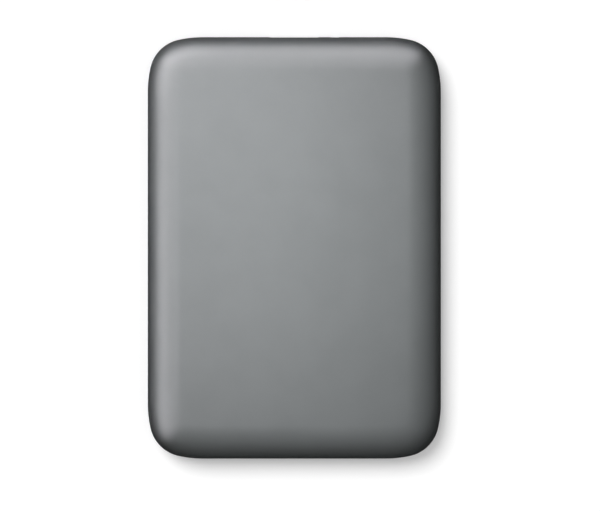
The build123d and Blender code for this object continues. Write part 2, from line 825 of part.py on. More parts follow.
# Base casting of the drive: chamber above, motor recess in the middle, board pocket below
with BuildPart() as base_casting:
    with BuildSketch(Plane.XY.offset(drive_low)):
        add(drive_outline(0))
    extrude(amount=rim_top - drive_low)
    with BuildSketch(Plane.XY.offset(floor_top)):
        add(chamber_outline(0))
    extrude(amount=rim_top - floor_top, mode=Mode.SUBTRACT)
    # posts that carry the lid screws
    with BuildSketch(Plane.XY.offset(floor_low)):
        with Locations(*lid_post_points):
            Circle(lid_post_radius)
    extrude(amount=lid_low - floor_low)
    # motor recess with the stator's seat and the bearing boss
    with BuildSketch(disk_plane(motor_floor)):
        Circle(motor_recess_radius)
    extrude(amount=floor_top - motor_floor, mode=Mode.SUBTRACT)
    with BuildSketch(disk_plane(drive_low)):
        Circle(boss_radius + seat_width)
    extrude(amount=stator_low - drive_low)
    with BuildSketch(disk_plane(drive_low)):
        Circle(boss_radius)
    extrude(amount=boss_top - drive_low)
    with BuildSketch(disk_plane(drive_low)):
        Circle(sleeve_radius + fit_gap)
    extrude(amount=boss_top - drive_low, mode=Mode.SUBTRACT)
    # pocket for the controller board, open at the connector end, and its screw bosses
    with BuildSketch(Plane.XY.offset(drive_low)):
        pocket_half = board_width / 2 + board_pocket_gap
        add(span_box(-pocket_half, pocket_half, board_front - board_pocket_gap,
                     drive_rear + drive_corner_radius, board_boss_radius))
    extrude(amount=floor_low - drive_low, mode=Mode.SUBTRACT)
    with BuildSketch(Plane.XY.offset(board_top)):
        with Locations(*board_screw_points):
            Circle(board_boss_radius)
    extrude(amount=floor_low - board_top)
    with BuildSketch(Plane.XY.offset(board_top)):
        with Locations(*board_screw_points):
            Circle(screw_shank_radius + running_gap)
    extrude(amount=board_screw_bite + slip_gap, mode=Mode.SUBTRACT)
    # notch for the plug
    with BuildSketch(Plane.XY.offset(drive_low)):
        with Locations((sata_offset, drive_rear)):
            Rectangle(plug_width + 2 * notch_relief, 2 * sata_notch_depth)
    extrude(amount=board_top + plug_height + notch_relief - drive_low, mode=Mode.SUBTRACT)
    # window for the flex bracket's plug and hole for the ramp's screw
    with BuildSketch(Plane.XY.offset(floor_low)):
        with Locations((bracket_x, bracket_y)):
            Rectangle(bracket_plug + 2 * slip_gap, bracket_plug + 2 * slip_gap)
    extrude(amount=floor_thickness, mode=Mode.SUBTRACT)
    with BuildSketch(Plane.XY.offset(floor_top - ramp_screw_bite - running_gap)):
        with Locations(ramp_screw_point):
            Circle(ramp_screw_radius + running_gap)
    extrude(amount=ramp_screw_bite + running_gap, mode=Mode.SUBTRACT)
    # lid screw holes, mounting holes and the shallow pocket under the front half
    with BuildSketch(Plane.XY.offset(lid_low)):
        with Locations(*lid_post_points):
            Circle(screw_shank_radius + running_gap)
    extrude(amount=-(screw_length + slip_gap), mode=Mode.SUBTRACT)
    with BuildSketch(Plane.XY.offset(drive_low)):
        with Locations(*[(side * mount_hole_spread / 2, y) for side in (-1, 1) for y in mount_hole_rows]):
            Circle(mount_hole_radius)
    extrude(amount=mount_hole_depth, mode=Mode.SUBTRACT)
    for side in (-1, 1):
        with BuildSketch(Plane.YZ.offset(side * drive_width / 2)):
            with Locations(*[(y, drive_low + side_hole_height) for y in mount_hole_rows]):
                Circle(mount_hole_radius)
        extrude(amount=-side * side_hole_depth, mode=Mode.SUBTRACT)
    with BuildSketch(disk_plane(drive_low)):
        add(sector(underside_pocket_inner, underside_pocket_outer, underside_pocket_angle / 2, -90))
    extrude(amount=underside_pocket_depth, mode=Mode.SUBTRACT)
finish("base_casting", base_casting.part)

# Lid with its pressed ring and countersunk holes, on a gasket round the chamber
with BuildPart() as drive_lid:
    with BuildSketch(Plane.XY.offset(lid_low)):
        add(drive_outline(-lid_inset))
    extrude(amount=lid_thickness)
    with BuildSketch(disk_plane(lid_top - lid_emboss_depth)):
        Circle(lid_ring_outer)
        Circle(lid_ring_inner, mode=Mode.SUBTRACT)
    extrude(amount=lid_emboss_depth, mode=Mode.SUBTRACT)
    with Locations(*[(x, y, lid_top) for x, y in lid_screw_points]):
        Cone(screw_shank_radius + running_gap, screw_head_radius + running_gap, screw_head_height,
             align=(Align.CENTER, Align.CENTER, Align.MAX), mode=Mode.SUBTRACT)
        Cylinder(screw_shank_radius + running_gap, lid_thickness,
                 align=(Align.CENTER, Align.CENTER, Align.MAX), mode=Mode.SUBTRACT)
finish("drive_lid", drive_lid.part)

with BuildPart() as lid_gasket:
    with BuildSketch(Plane.XY.offset(rim_top)):
        add(chamber_outline(gasket_inset + gasket_width))
        add(chamber_outline(gasket_inset), mode=Mode.SUBTRACT)
    extrude(amount=gasket_height)
finish("lid_gasket", lid_gasket.part)

with BuildPart() as lid_screws:
    with Locations(*[(x, y, lid_top) for x, y in lid_screw_points]):
        Cone(screw_shank_radius, screw_head_radius, screw_head_height,
             align=(Align.CENTER, Align.CENTER, Align.MAX))
        Cylinder(screw_shank_radius, lid_thickness + screw_length,
                 align=(Align.CENTER, Align.CENTER, Align.MAX))
    with BuildSketch(Plane.XY.offset(lid_top)):
        with Locations(*lid_screw_points):
            RegularPolygon(screw_socket_radius, 6)
    extrude(amount=-screw_socket_depth, mode=Mode.SUBTRACT)
finish("lid_screws", lid_screws.part)

# Filters in the chamber
filter_x = chamber_half_width - filter_wall_gap - filter_thickness / 2
with BuildPart() as recirculation_filter:
    with BuildSketch(Plane.XY.offset(floor_top)):
        with Locations((filter_x, disk_y + filter_behind_disk)):
            Rectangle(filter_thickness, filter_length)
    extrude(amount=filter_height)
finish("recirculation_filter", recirculation_filter.part)

with BuildPart() as breather_filter:
    with BuildSketch(Plane.XY.offset(floor_top)):
        with Locations((pivot_x - breather_beside, pivot_y - breather_ahead)):
            Circle(breather_radius)
    extrude(amount=breather_thickness)
finish("breather_filter", breather_filter.part)

# Controller board with its chips, plug and screws
with BuildPart() as controller_board:
    with BuildSketch(Plane.XY.offset(board_low)):
        add(span_box(-board_width / 2, board_width / 2, board_front, board_rear, board_boss_radius))
        with Locations(*board_screw_points):
            Circle(screw_shank_radius + running_gap, mode=Mode.SUBTRACT)
    extrude(amount=board_thickness)
finish("controller_board", controller_board.part)


def board_chip(place, width, length):
    """Flat chip on the controller board at a place counted from the middle of its front edge."""
    with BuildPart() as chip:
        with BuildSketch(Plane.XY.offset(board_top)):
            with Locations((place[0], board_front + place[1])):
                Rectangle(width, length)
        extrude(amount=chip_height)
    return chip.part


finish("controller_chip", board_chip(controller_chip_place, controller_chip_size, controller_chip_size))
finish("memory_chip", board_chip(memory_chip_place, memory_chip_width, memory_chip_length))
finish("motor_driver_chip", board_chip(driver_chip_place, driver_chip_size, driver_chip_size))

with BuildPart() as sata_plug:
    with BuildSketch(end_plane(plug_front)):
        with Locations((sata_offset, plug_mid)):
            Rectangle(plug_width, plug_height)
    extrude(amount=-plug_back)
    with BuildSketch(end_plane(plug_front)):
        with Locations((sata_offset, plug_mid)):
            add(sata_tongues(0))
            with GridLocations(plug_width - guide_width, 0, 2, 1):
                Rectangle(guide_width, plug_height)
    extrude(amount=plug_front - tongue_end)
finish("sata_plug", sata_plug.part)

with BuildPart() as board_screws:
    with BuildSketch(Plane.XY.offset(board_low - board_screw_head_height)):
        with Locations(*board_screw_points):
            Circle(board_screw_head_radius)
    extrude(amount=board_screw_head_height)
    with BuildSketch(Plane.XY.offset(board_low)):
        with Locations(*board_screw_points):
            Circle(screw_shank_radius)
    extrude(amount=board_thickness + board_screw_bite)
    with BuildSketch(Plane.XY.offset(board_low - board_screw_head_height)):
        with Locations(*board_screw_points):
            RegularPolygon(screw_socket_radius, 6)
    extrude(amount=screw_socket_depth, mode=Mode.SUBTRACT)
finish("board_screws", board_screws.part)

# Spindle motor, the part that stands still
with BuildPart() as bearing_sleeve:
    with BuildSketch(disk_plane(drive_low + running_gap)):
        Circle(sleeve_radius)
    extrude(amount=sleeve_top - drive_low - running_gap)
    with BuildSketch(disk_plane(drive_low + sleeve_base)):
        Circle(shaft_radius + running_gap)
    extrude(amount=sleeve_top - drive_low - sleeve_base, mode=Mode.SUBTRACT)
finish("bearing_sleeve", bearing_sleeve.part)

stator_step = 360 / tooth_count
ring_radius = stator_bore + stator_ring
winding_middle = (ring_radius + stator_radius - shoe_depth) / 2
with BuildPart() as stator_core:
    with BuildSketch(disk_plane(stator_low)):
        Circle(ring_radius)
        with PolarLocations((ring_radius + stator_radius - shoe_depth) / 2, tooth_count):
            Rectangle(stator_radius - shoe_depth - ring_radius + stator_ring, tooth_width)
        for tooth in range(tooth_count):
            add(sector(stator_radius - shoe_depth, stator_radius, shoe_half_angle, tooth * stator_step))
        Circle(stator_bore, mode=Mode.SUBTRACT)
    extrude(amount=stator_thickness)
finish("stator_core", stator_core.part)

with BuildPart() as stator_coils:
    with Locations((disk_x, disk_y, (stator_low + stator_top) / 2)):
        with PolarLocations(winding_middle, tooth_count):
            Box(winding_length, winding_width, stator_thickness + 2 * winding_overhang)
        with PolarLocations(winding_middle, tooth_count):
            Box(winding_length, tooth_width + 2 * running_gap, stator_thickness + 2 * running_gap,
                mode=Mode.SUBTRACT)
finish("stator_coils", stator_coils.part)

# Disk stack, which spins
spindle = Axis((disk_x, disk_y, 0), (0, 0, 1))
spindle_section = Plane(origin=(disk_x, disk_y, 0), x_dir=(1, 0, 0), z_dir=(0, -1, 0))
with BuildPart() as motor_hub:
    with BuildSketch(spindle_section):
        with BuildLine():
            hole, hole_low = clamp_shank_radius + running_gap, clamp_top - clamp_shank_length - slip_gap
            tip, web, pilot = drive_low + sleeve_base + running_gap, hub_web_low, disk_top - pilot_drop
            Polyline((0, tip), (shaft_radius, tip), (shaft_radius, web), (rotor_magnet_outer + fit_gap, web),
                     (rotor_magnet_outer + fit_gap, skirt_low), (skirt_radius, skirt_low),
                     (skirt_radius, disk_low), (pilot_radius, disk_low), (pilot_radius, pilot), (hole, pilot),
                     (hole, hole_low), (0, hole_low), close=True)
        make_face()
    revolve(axis=spindle)
finish("motor_hub", motor_hub.part)

with BuildPart() as rotor_magnet:
    with BuildSketch(disk_plane(skirt_low + running_gap)):
        Circle(rotor_magnet_outer)
        Circle(rotor_magnet_inner, mode=Mode.SUBTRACT)
    extrude(amount=hub_web_low - skirt_low - 2 * running_gap)
finish("rotor_magnet", rotor_magnet.part)

with BuildPart() as platter:
    with BuildSketch(disk_plane(disk_low)):
        Circle(disk_radius)
        Circle(disk_bore_radius, mode=Mode.SUBTRACT)
    extrude(amount=disk_thickness)
finish("platter", platter.part)

with BuildPart() as disk_clamp:
    with BuildSketch(spindle_section):
        with BuildLine():
            hole, rise = clamp_shank_radius + running_gap, disk_top + clamp_rise
            foot, shoulder = clamp_radius - clamp_land, clamp_radius - clamp_land - clamp_slope
            Polyline((hole, rise), (shoulder, rise), (foot, disk_top), (clamp_radius, disk_top),
                     (clamp_radius, disk_top + clamp_sheet), (foot, disk_top + clamp_sheet),
                     (shoulder, clamp_top), (hole, clamp_top), close=True)
        make_face()
    revolve(axis=spindle)
finish("disk_clamp", disk_clamp.part)

with BuildPart() as clamp_screw:
    with BuildSketch(disk_plane(clamp_top - clamp_shank_length)):
        Circle(clamp_shank_radius)
    extrude(amount=clamp_shank_length)
    with BuildSketch(disk_plane(clamp_top)):
        Circle(clamp_head_radius)
        RegularPolygon(clamp_shank_radius, 6, mode=Mode.SUBTRACT)
    extrude(amount=clamp_head_height)
    with BuildSketch(disk_plane(clamp_top)):
        Circle(clamp_head_radius)
    extrude(amount=clamp_head_height / 2)
finish("clamp_screw", clamp_screw.part)

# Actuator, the part that swings, drawn where it parks
with BuildPart() as arm_block:
    with BuildSketch(pivot_plane(lower_arm_low, park_bearing)):
        Circle(block_radius)
    extrude(amount=upper_arm_top - lower_arm_low)
    for low in (lower_arm_low, upper_arm_low):
        with BuildSketch(pivot_plane(low, park_bearing)):
            Circle(arm_root_radius)
            with Locations((arm_length, 0)):
                Circle(arm_tip_radius)
            make_hull()
        extrude(amount=arm_thickness)
    with BuildSketch(pivot_plane(lower_arm_low, park_bearing)):
        with Locations((arm_window_start, 0)):
            Circle(arm_window_root)
        with Locations((arm_length - beam_overlap - arm_tip_radius, 0)):
            Circle(arm_window_tip)
        make_hull()
    extrude(amount=upper_arm_top - lower_arm_low, mode=Mode.SUBTRACT)
    with BuildSketch(pivot_plane(lower_arm_low, park_bearing)):
        Circle(pivot_bore)
    extrude(amount=upper_arm_top - lower_arm_low, mode=Mode.SUBTRACT)
finish("arm_block", arm_block.part)

with BuildPart() as pivot_sleeve:
    with BuildSketch(pivot_plane(lower_arm_low, park_bearing)):
        Circle(pivot_bore - fit_gap)
        Circle(pivot_shaft_radius + running_gap, mode=Mode.SUBTRACT)
    extrude(amount=upper_arm_top - lower_arm_low)
finish("pivot_sleeve", pivot_sleeve.part)

with BuildPart() as voice_coil:
    with BuildSketch(pivot_plane(coil_low, coil_bearing)):
        add(sector(coil_inner, coil_outer, coil_half_angle))
        add(sector(coil_inner + coil_leg, coil_outer - coil_leg, coil_window_angle), mode=Mode.SUBTRACT)
    extrude(amount=coil_thickness)
finish("voice_coil", voice_coil.part)

coil_slack = degrees(fit_gap / coil_inner)
with BuildPart() as coil_carrier:
    with BuildSketch(pivot_plane(coil_low, coil_bearing)):
        add(sector(block_radius + fit_gap, carrier_outer, carrier_half_angle))
        add(sector(coil_inner - fit_gap, coil_outer + fit_gap, coil_half_angle + coil_slack),
            mode=Mode.SUBTRACT)
    extrude(amount=coil_thickness)
finish("coil_carrier", coil_carrier.part)

beam_start = arm_length - beam_overlap
beam_tip = arm_reach + slider_length / 2
tab_end = arm_reach + tab_length
with BuildPart() as head_suspensions:
    for low in (lower_arm_top, upper_arm_low - beam_thickness):
        with BuildSketch(pivot_plane(low, park_bearing)):
            with BuildLine():
                Polyline((beam_start, -beam_root_half), (arm_length, -beam_root_half),
                         (beam_tip, -beam_tip_half), (beam_tip, -tab_half), (tab_end, -tab_half),
                         (tab_end, tab_half), (beam_tip, tab_half), (beam_tip, beam_tip_half),
                         (arm_length, beam_root_half), (beam_start, beam_root_half), close=True)
            make_face()
        extrude(amount=beam_thickness)
finish("head_suspensions", head_suspensions.part)

with BuildPart() as head_sliders:
    for low in (lower_arm_top + beam_thickness, upper_arm_low - beam_thickness - slider_height):
        with BuildSketch(pivot_plane(low, park_bearing)):
            with Locations((arm_reach, 0)):
                Rectangle(slider_length, slider_width)
        extrude(amount=slider_height)
finish("head_sliders", head_sliders.part)

# Actuator, the part that stands still: shaft, magnets on their yokes, posts and stops
with BuildPart() as pivot_shaft:
    with BuildSketch(pivot_plane(floor_top, park_bearing)):
        Circle(pivot_flange_radius)
    extrude(amount=pivot_flange_height)
    with BuildSketch(pivot_plane(floor_top, park_bearing)):
        Circle(pivot_shaft_radius)
    extrude(amount=lid_low - floor_top)
    with BuildSketch(pivot_plane(lid_low, park_bearing)):
        Circle(screw_shank_radius + running_gap)
    extrude(amount=-(screw_length + slip_gap), mode=Mode.SUBTRACT)
finish("pivot_shaft", pivot_shaft.part)


def yoke_plate(low):
    """Steel plate of the voice-coil motor with its underside at this height."""
    with BuildPart() as plate:
        with BuildSketch(pivot_plane(low, yoke_bearing)):
            add(sector(yoke_inner, yoke_outer, yoke_half_angle))
        extrude(amount=yoke_thickness)
    return plate.part


def yoke_magnet(low):
    """Flat magnet of the voice-coil motor with its underside at this height."""
    with BuildPart() as magnet:
        with BuildSketch(pivot_plane(low, yoke_bearing)):
            add(sector(coil_inner + magnet_margin, coil_outer - magnet_margin, magnet_half_angle))
        extrude(amount=magnet_thickness)
    return magnet.part


finish("lower_yoke", yoke_plate(floor_top))
finish("upper_yoke", yoke_plate(upper_yoke_low))
finish("lower_magnet", yoke_magnet(lower_magnet_low))
finish("upper_magnet", yoke_magnet(upper_yoke_low - magnet_thickness))

post_bearings = [yoke_bearing + side * post_spread_angle for side in (-1, 1)]
with BuildPart() as yoke_posts:
    with BuildSketch(Plane.XY.offset(lower_magnet_low)):
        with Locations(*[pivot_point(post_circle, bearing) for bearing in post_bearings]):
            Circle(post_radius)
    extrude(amount=upper_yoke_low - lower_magnet_low)
finish("yoke_posts", yoke_posts.part)

stop_turn = carrier_half_angle + degrees((stop_radius + stop_gap) / stop_circle)
stop_bearings = (coil_bearing + stop_turn, coil_bearing - swing - stop_turn)
with BuildPart() as crash_stops:
    with BuildSketch(Plane.XY.offset(floor_top)):
        with Locations(*[pivot_point(stop_circle, bearing) for bearing in stop_bearings]):
            Circle(stop_radius)
    extrude(amount=coil_top + stop_rise - floor_top)
finish("crash_stops", crash_stops.part)

# Flex: its bracket plugs down through the floor to the board, its ribbon runs to the arm block
with BuildPart() as flex_bracket:
    with BuildSketch(Plane.XY.offset(floor_top)):
        with Locations((bracket_x, bracket_y)):
            RectangleRounded(bracket_size, bracket_size, bracket_corner)
    extrude(amount=bracket_height)
    with BuildSketch(Plane.XY.offset(board_top)):
        with Locations((bracket_x, bracket_y)):
            Rectangle(bracket_plug, bracket_plug)
    extrude(amount=floor_top - board_top)
finish("flex_bracket", flex_bracket.part)

ribbon_start = (bracket_x - bracket_size / 2 - fit_gap, bracket_y)
ribbon_end = pivot_point(block_radius + ribbon_thickness, ribbon_bearing_angle)
ribbon_level = ribbon_end[1] + ribbon_rise
ribbon_third = (ribbon_start[0] - ribbon_end[0]) / 3
with BuildPart() as flex_ribbon:
    with BuildSketch(Plane.XY.offset(floor_top + ribbon_lift)):
        with BuildLine():
            FilletPolyline(ribbon_start, (ribbon_start[0] - ribbon_third, ribbon_start[1]),
                           (ribbon_end[0] + ribbon_third, ribbon_level),
                           (ribbon_end[0] + ribbon_bend, ribbon_level), ribbon_end, radius=ribbon_bend)
        trace(line_width=ribbon_thickness)
    extrude(amount=ribbon_height)
finish("flex_ribbon", flex_ribbon.part)

os.makedirs("parts", exist_ok=True)
for name, piece in pieces.items():
    export_step(piece, "parts/" + name + ".step")
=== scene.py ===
"""Looks of a slim portable hard drive: painted covers, port socket and the disk drive inside.

Sizes in this script are millimetres and become metres where a mesh or a lamp is made.
X is the width, +Y the port end and +Z the top, and the underside lies on Z = 0.
"""

import logging
import math
from collections.abc import Iterable, Sequence
from dataclasses import dataclass, field
from enum import Enum
from typing import NamedTuple

import bpy
import numpy as np
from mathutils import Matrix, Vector


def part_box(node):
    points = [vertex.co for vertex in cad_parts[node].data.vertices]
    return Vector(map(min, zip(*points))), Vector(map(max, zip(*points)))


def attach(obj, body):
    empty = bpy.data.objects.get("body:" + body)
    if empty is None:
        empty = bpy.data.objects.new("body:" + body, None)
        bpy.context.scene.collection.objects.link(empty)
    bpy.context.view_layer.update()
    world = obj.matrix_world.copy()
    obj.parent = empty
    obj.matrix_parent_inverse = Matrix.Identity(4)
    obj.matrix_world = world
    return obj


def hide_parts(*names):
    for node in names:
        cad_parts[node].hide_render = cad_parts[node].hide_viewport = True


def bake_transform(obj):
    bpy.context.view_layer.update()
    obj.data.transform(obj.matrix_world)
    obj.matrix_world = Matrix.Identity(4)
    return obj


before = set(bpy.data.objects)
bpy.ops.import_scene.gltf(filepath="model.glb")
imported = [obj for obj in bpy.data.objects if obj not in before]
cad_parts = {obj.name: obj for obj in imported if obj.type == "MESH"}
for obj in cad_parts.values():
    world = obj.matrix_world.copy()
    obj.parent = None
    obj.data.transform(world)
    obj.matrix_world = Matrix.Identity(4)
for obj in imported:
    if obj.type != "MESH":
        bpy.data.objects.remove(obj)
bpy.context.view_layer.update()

MM = 0.001
# Faces that turn by more than this from one to the next keep a clear edge between them.
EDGE_TURN = math.radians(32)
# Points of a CAD node that lie this close, in metres, are one point.
WELD_REACH = 1e-7

log = logging.getLogger("portable_drive")

Pair = tuple[float, float]
Triple = tuple[float, float, float]
Color = Triple
Socket = bpy.types.NodeSocket


class Body(Enum):
    """Rigid bodies that pieces made here ride on."""

    HOUSING = "housing"
    ACTUATOR = "actuator"


class Lie(Enum):
    """Ways in which a prism lies, each the column of its points that changes from end to end."""

    ALONG_Y = 1
    UPRIGHT = 2


class Carving(Enum):
    """Ways in which a helper solid changes a piece."""

    CUT = "DIFFERENCE"
    JOIN = "UNION"


def linear(red: float, green: float, blue: float) -> Color:
    """Turn a screen colour into the linear values that shaders use.

    A share up to 0.04045 is divided by 12.92. Above that it is ((share + 0.055) / 1.055) to the power 2.4.

    Args:
        red: Red from 0 to 255.
        green: Green from 0 to 255.
        blue: Blue from 0 to 255.

    Returns:
        The three linear values from 0 to 1.
    """
    share = np.array([red, green, blue]) / 255
    values = np.where(share <= 0.04045, share / 12.92, ((share + 0.055) / 1.055) ** 2.4)
    return tuple(float(value) for value in values)


def node_box(name: str) -> tuple[np.ndarray, np.ndarray]:
    """Give the lowest and highest corner of a CAD node.

    Args:
        name: Name of the node.

    Returns:
        Both corners in millimetres.
    """
    low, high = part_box(name)
    return np.array(low) / MM, np.array(high) / MM


def node_heights(name: str) -> Pair:
    """Give the lowest and highest Z of a CAD node in millimetres."""
    low, high = node_box(name)
    return float(low[2]), float(high[2])


def node_middle(name: str) -> np.ndarray:
    """Give the middle of a CAD node's box in millimetres."""
    low, high = node_box(name)
    return (low + high) / 2


@dataclass
class Solid:
    """Closed surface before it becomes a mesh.

    Attributes:
        points: Corner points in millimetres, one row each.
        faces: Point numbers, a face to a row, in one array for each number of corners.
    """

    points: np.ndarray
    faces: list[np.ndarray]

    def __add__(self, other: "Solid") -> "Solid":
        """Put two solids into one, each with its own points."""
        moved = [faces + len(self.points) for faces in other.faces]
        return Solid(np.concatenate([self.points, other.points]), self.faces + moved)


def merged(solids: Iterable[Solid]) -> Solid:
    """Put several solids into one, each with its own points."""
    first, *others = solids
    return sum(others, first)


def grid_quads(rows: int, columns: int) -> np.ndarray:
    """Join rings of points into quads: point j of ring i meets point j + 1 and ring i + 1, and rings close.

    Args:
        rows: Number of rings.
        columns: Points in each ring.

    Returns:
        Point numbers, four to a row.
    """
    ring, place = np.meshgrid(np.arange(rows - 1), np.arange(columns), indexing="ij")
    after = (place + 1) % columns
    corners = [ring * columns + place, ring * columns + after,
               (ring + 1) * columns + after, (ring + 1) * columns + place]
    return np.stack(corners, -1).reshape(-1, 4)


def turned_out(points: np.ndarray, *groups: np.ndarray) -> Solid:
    """Make a closed solid whose faces point outwards.

    The volume is the sum of a . (b x c) over the triangles of each face, and all faces are turned round where it
    comes out negative.

    Args:
        points: Corner points in millimetres, one row each.
        groups: Point numbers of faces, one array for each number of corners.

    Returns:
        The closed solid.
    """
    volume = 0.0
    for faces in groups:
        for second in range(1, faces.shape[1] - 1):
            a, b, c = (points[faces[:, corner]] for corner in (0, second, second + 1))
            volume += np.einsum("ij,ij->", a, np.cross(b, c))
    order = slice(None) if volume > 0 else slice(None, None, -1)
    return Solid(points, [faces[:, order] for faces in groups])


def looped(rings: np.ndarray) -> Solid:
    """Skin a closed row of rings: the grid of quads between neighbours, where the last ring meets the first.

    Args:
        rings: Points in millimetres, shaped (rings, points in a ring, 3).

    Returns:
        The closed solid.
    """
    rows, columns = rings.shape[:2]
    return turned_out(rings.reshape(-1, 3), grid_quads(rows + 1, columns) % (rows * columns))


def swept(rings: np.ndarray) -> Solid:
    """Skin a stack of rings and close both ends at the middle of the end ring.

    The side is the grid of quads between neighbouring rings. Each end is a fan of triangles from the ring to
    the mean of its points.

    Args:
        rings: Points in millimetres, shaped (rings, points in a ring, 3).

    Returns:
        The closed solid.
    """
    rows, columns = rings.shape[:2]
    points = rings.reshape(-1, 3)
    quads = grid_quads(rows, columns)
    place = np.arange(columns)
    after = (place + 1) % columns
    first, last = len(points), len(points) + 1
    top = (rows - 1) * columns
    start_fan = np.stack([np.full(columns, first), after, place], -1)
    end_fan = np.stack([np.full(columns, last), top + place, top + after], -1)
    points = np.concatenate([points, rings[0].mean(0)[None], rings[-1].mean(0)[None]])
    return turned_out(points, quads, start_fan, end_fan)


QUARTERS = np.array([[1, 1], [-1, 1], [-1, -1], [1, -1]])


def rounded_plan(width: float, length: float, radius: float, steps: int = 6, between: int = 0) -> np.ndarray:
    """Outline of a rounded rectangle about the origin.

    A corner point is the corner's centre plus radius times (cos, sin) of its turn. A side point is the end of one
    corner plus a share of the way to the start of the next.

    Args:
        width: Size along the first direction.
        length: Size along the second direction.
        radius: Corner radius.
        steps: Chords in each corner.
        between: Points added along each side.

    Returns:
        Points of the outline, two values to a row, anticlockwise.
    """
    turn = np.radians(np.linspace(0, 90, steps + 1))[None] + np.radians([0, 90, 180, 270])[:, None]
    centres = QUARTERS * (np.array([width, length]) / 2 - radius)
    corners = centres[:, None] + radius * np.stack([np.cos(turn), np.sin(turn)], -1)
    share = np.linspace(0, 1, between + 2)[1:-1, None]
    starts, ends = corners[:, -1:], np.roll(corners[:, :1], -1, axis=0)
    sides = starts + share * (ends - starts)
    return np.concatenate([corners, sides], axis=1).reshape(-1, 2)


def thin_section(width: float, tall: float, steps: int = 2) -> np.ndarray:
    """Section of a thin strip: a rectangle whose corners are rounded to a third of its thickness."""
    return rounded_plan(width, tall, min(width, tall) / 3, steps)


def round_plan(radius: float, count: int, start: float = 0) -> np.ndarray:
    """Circle about the origin: radius times (cos, sin) of evenly spaced turns.

    Args:
        radius: Radius of the circle.
        count: Number of points.
        start: Turn of the first point, in shares of the step between points.

    Returns:
        Points of the circle, two values to a row, anticlockwise.
    """
    turn = 2 * math.pi * (np.arange(count) + start) / count
    return radius * np.stack([np.cos(turn), np.sin(turn)], -1)


def rounded_path(corners: np.ndarray, radius: float, count: int, steps: int = 12) -> np.ndarray:
    """Path through corners that are rounded off, as evenly spaced points.

    At a corner with turn t the arc starts radius tan(|t| / 2) before it. The arc's centre lies a radius to the side
    that the path turns to, and the arc is its start turned about that centre by shares of t.

    Args:
        corners: Start, corners and end of the path, two values to a row.
        radius: Radius of every corner.
        count: Number of points.
        steps: Chords in each arc.

    Returns:
        Points of the path, two values to a row.
    """
    way = np.diff(corners, axis=0)
    way /= np.linalg.norm(way, axis=1)[:, None]
    into, out = way[:-1], way[1:]
    turn = np.arctan2(into[:, 0] * out[:, 1] - into[:, 1] * out[:, 0], (into * out).sum(1))
    start = corners[1:-1] - radius * np.tan(np.abs(turn) / 2)[:, None] * into
    side = np.sign(turn)[:, None] * np.stack([-into[:, 1], into[:, 0]], -1)
    centre = start + radius * side
    angle = (turn[:, None] * np.linspace(0, 1, steps + 1))[..., None]
    arcs = centre[:, None] + radius * (np.sin(np.abs(angle)) * into[:, None] - np.cos(angle) * side[:, None])
    points = np.concatenate([corners[:1], arcs.reshape(-1, 2), corners[-1:]])
    far = np.concatenate([[0], np.cumsum(np.linalg.norm(np.diff(points, axis=0), axis=1))])
    even = np.linspace(0, far[-1], count)
    return np.stack([np.interp(even, far, points[:, 0]), np.interp(even, far, points[:, 1])], -1)


def wire_row(wires: int, steps: int = 6) -> np.ndarray:
    """Row of round wires side by side: place from 0 to 1, and depth under the crowns 1 - |sin(pi place wires)|.

    Args:
        wires: Number of wires in the row.
        steps: Chords over each wire.

    Returns:
        Place and depth, two values to a row.
    """
    place = np.linspace(0, 1, wires * steps + 1)
    return np.stack([place, 1 - np.abs(np.sin(math.pi * place * wires))], -1)


def contact_strip(root: Sequence[float], size: Sequence[float], narrowing: float = 0.6) -> Solid:
    """Flat contact along Y: a rounded section carried from its root and narrowed over the last bit to its tip.

    Args:
        root: Middle of the strip's end on the plastic body, in millimetres.
        size: Width, length and height.
        narrowing: Share of the section that is left at the tip.

    Returns:
        The closed solid.
    """
    width, length, tall = size
    section = np.insert(thin_section(width, tall), 1, 0.0, axis=1)
    along = np.array([0, length - width, length])[:, None, None] * np.array([0.0, 1.0, 0.0])
    scale = np.array([1, 1, narrowing])[:, None, None]
    return swept(np.array(root) + along + scale * section[None])


def prism(plan: np.ndarray, low: float, high: float, lie: Lie = Lie.UPRIGHT) -> Solid:
    """Prism: the plan at one end and again at the other.

    Args:
        plan: Convex outline in X and Y, or in X and Z if the prism lies along Y. Two values to a row.
        low: Height of the bottom, or Y of the near end.
        high: Height of the top, or Y of the far end.
        lie: How the prism lies.

    Returns:
        The closed solid.
    """
    return swept(np.stack([np.insert(plan, lie.value, end, axis=1) for end in (low, high)]))


def block(middle: Sequence[float], size: Sequence[float]) -> Solid:
    """Plain box as a prism of four points, each the middle plus or minus half the size.

    Args:
        middle: Middle of the box.
        size: Its three sizes.

    Returns:
        The closed solid.
    """
    half = np.array(size) / 2
    return prism(QUARTERS * half[:2] + np.array(middle[:2]), middle[2] - half[2], middle[2] + half[2])


def mesh_object(name: str, solid: Solid) -> bpy.types.Object:
    """Make a Blender object at the origin from a solid.

    Args:
        name: Name of the object and of its mesh.
        solid: Closed surface in millimetres.

    Returns:
        The linked object.
    """
    mesh = bpy.data.meshes.new(name)
    faces = [face for group in solid.faces for face in group.tolist()]
    mesh.from_pydata((solid.points * MM).tolist(), [], faces)
    mesh.validate()
    made = bpy.data.objects.new(name, mesh)
    bpy.context.scene.collection.objects.link(made)
    return made


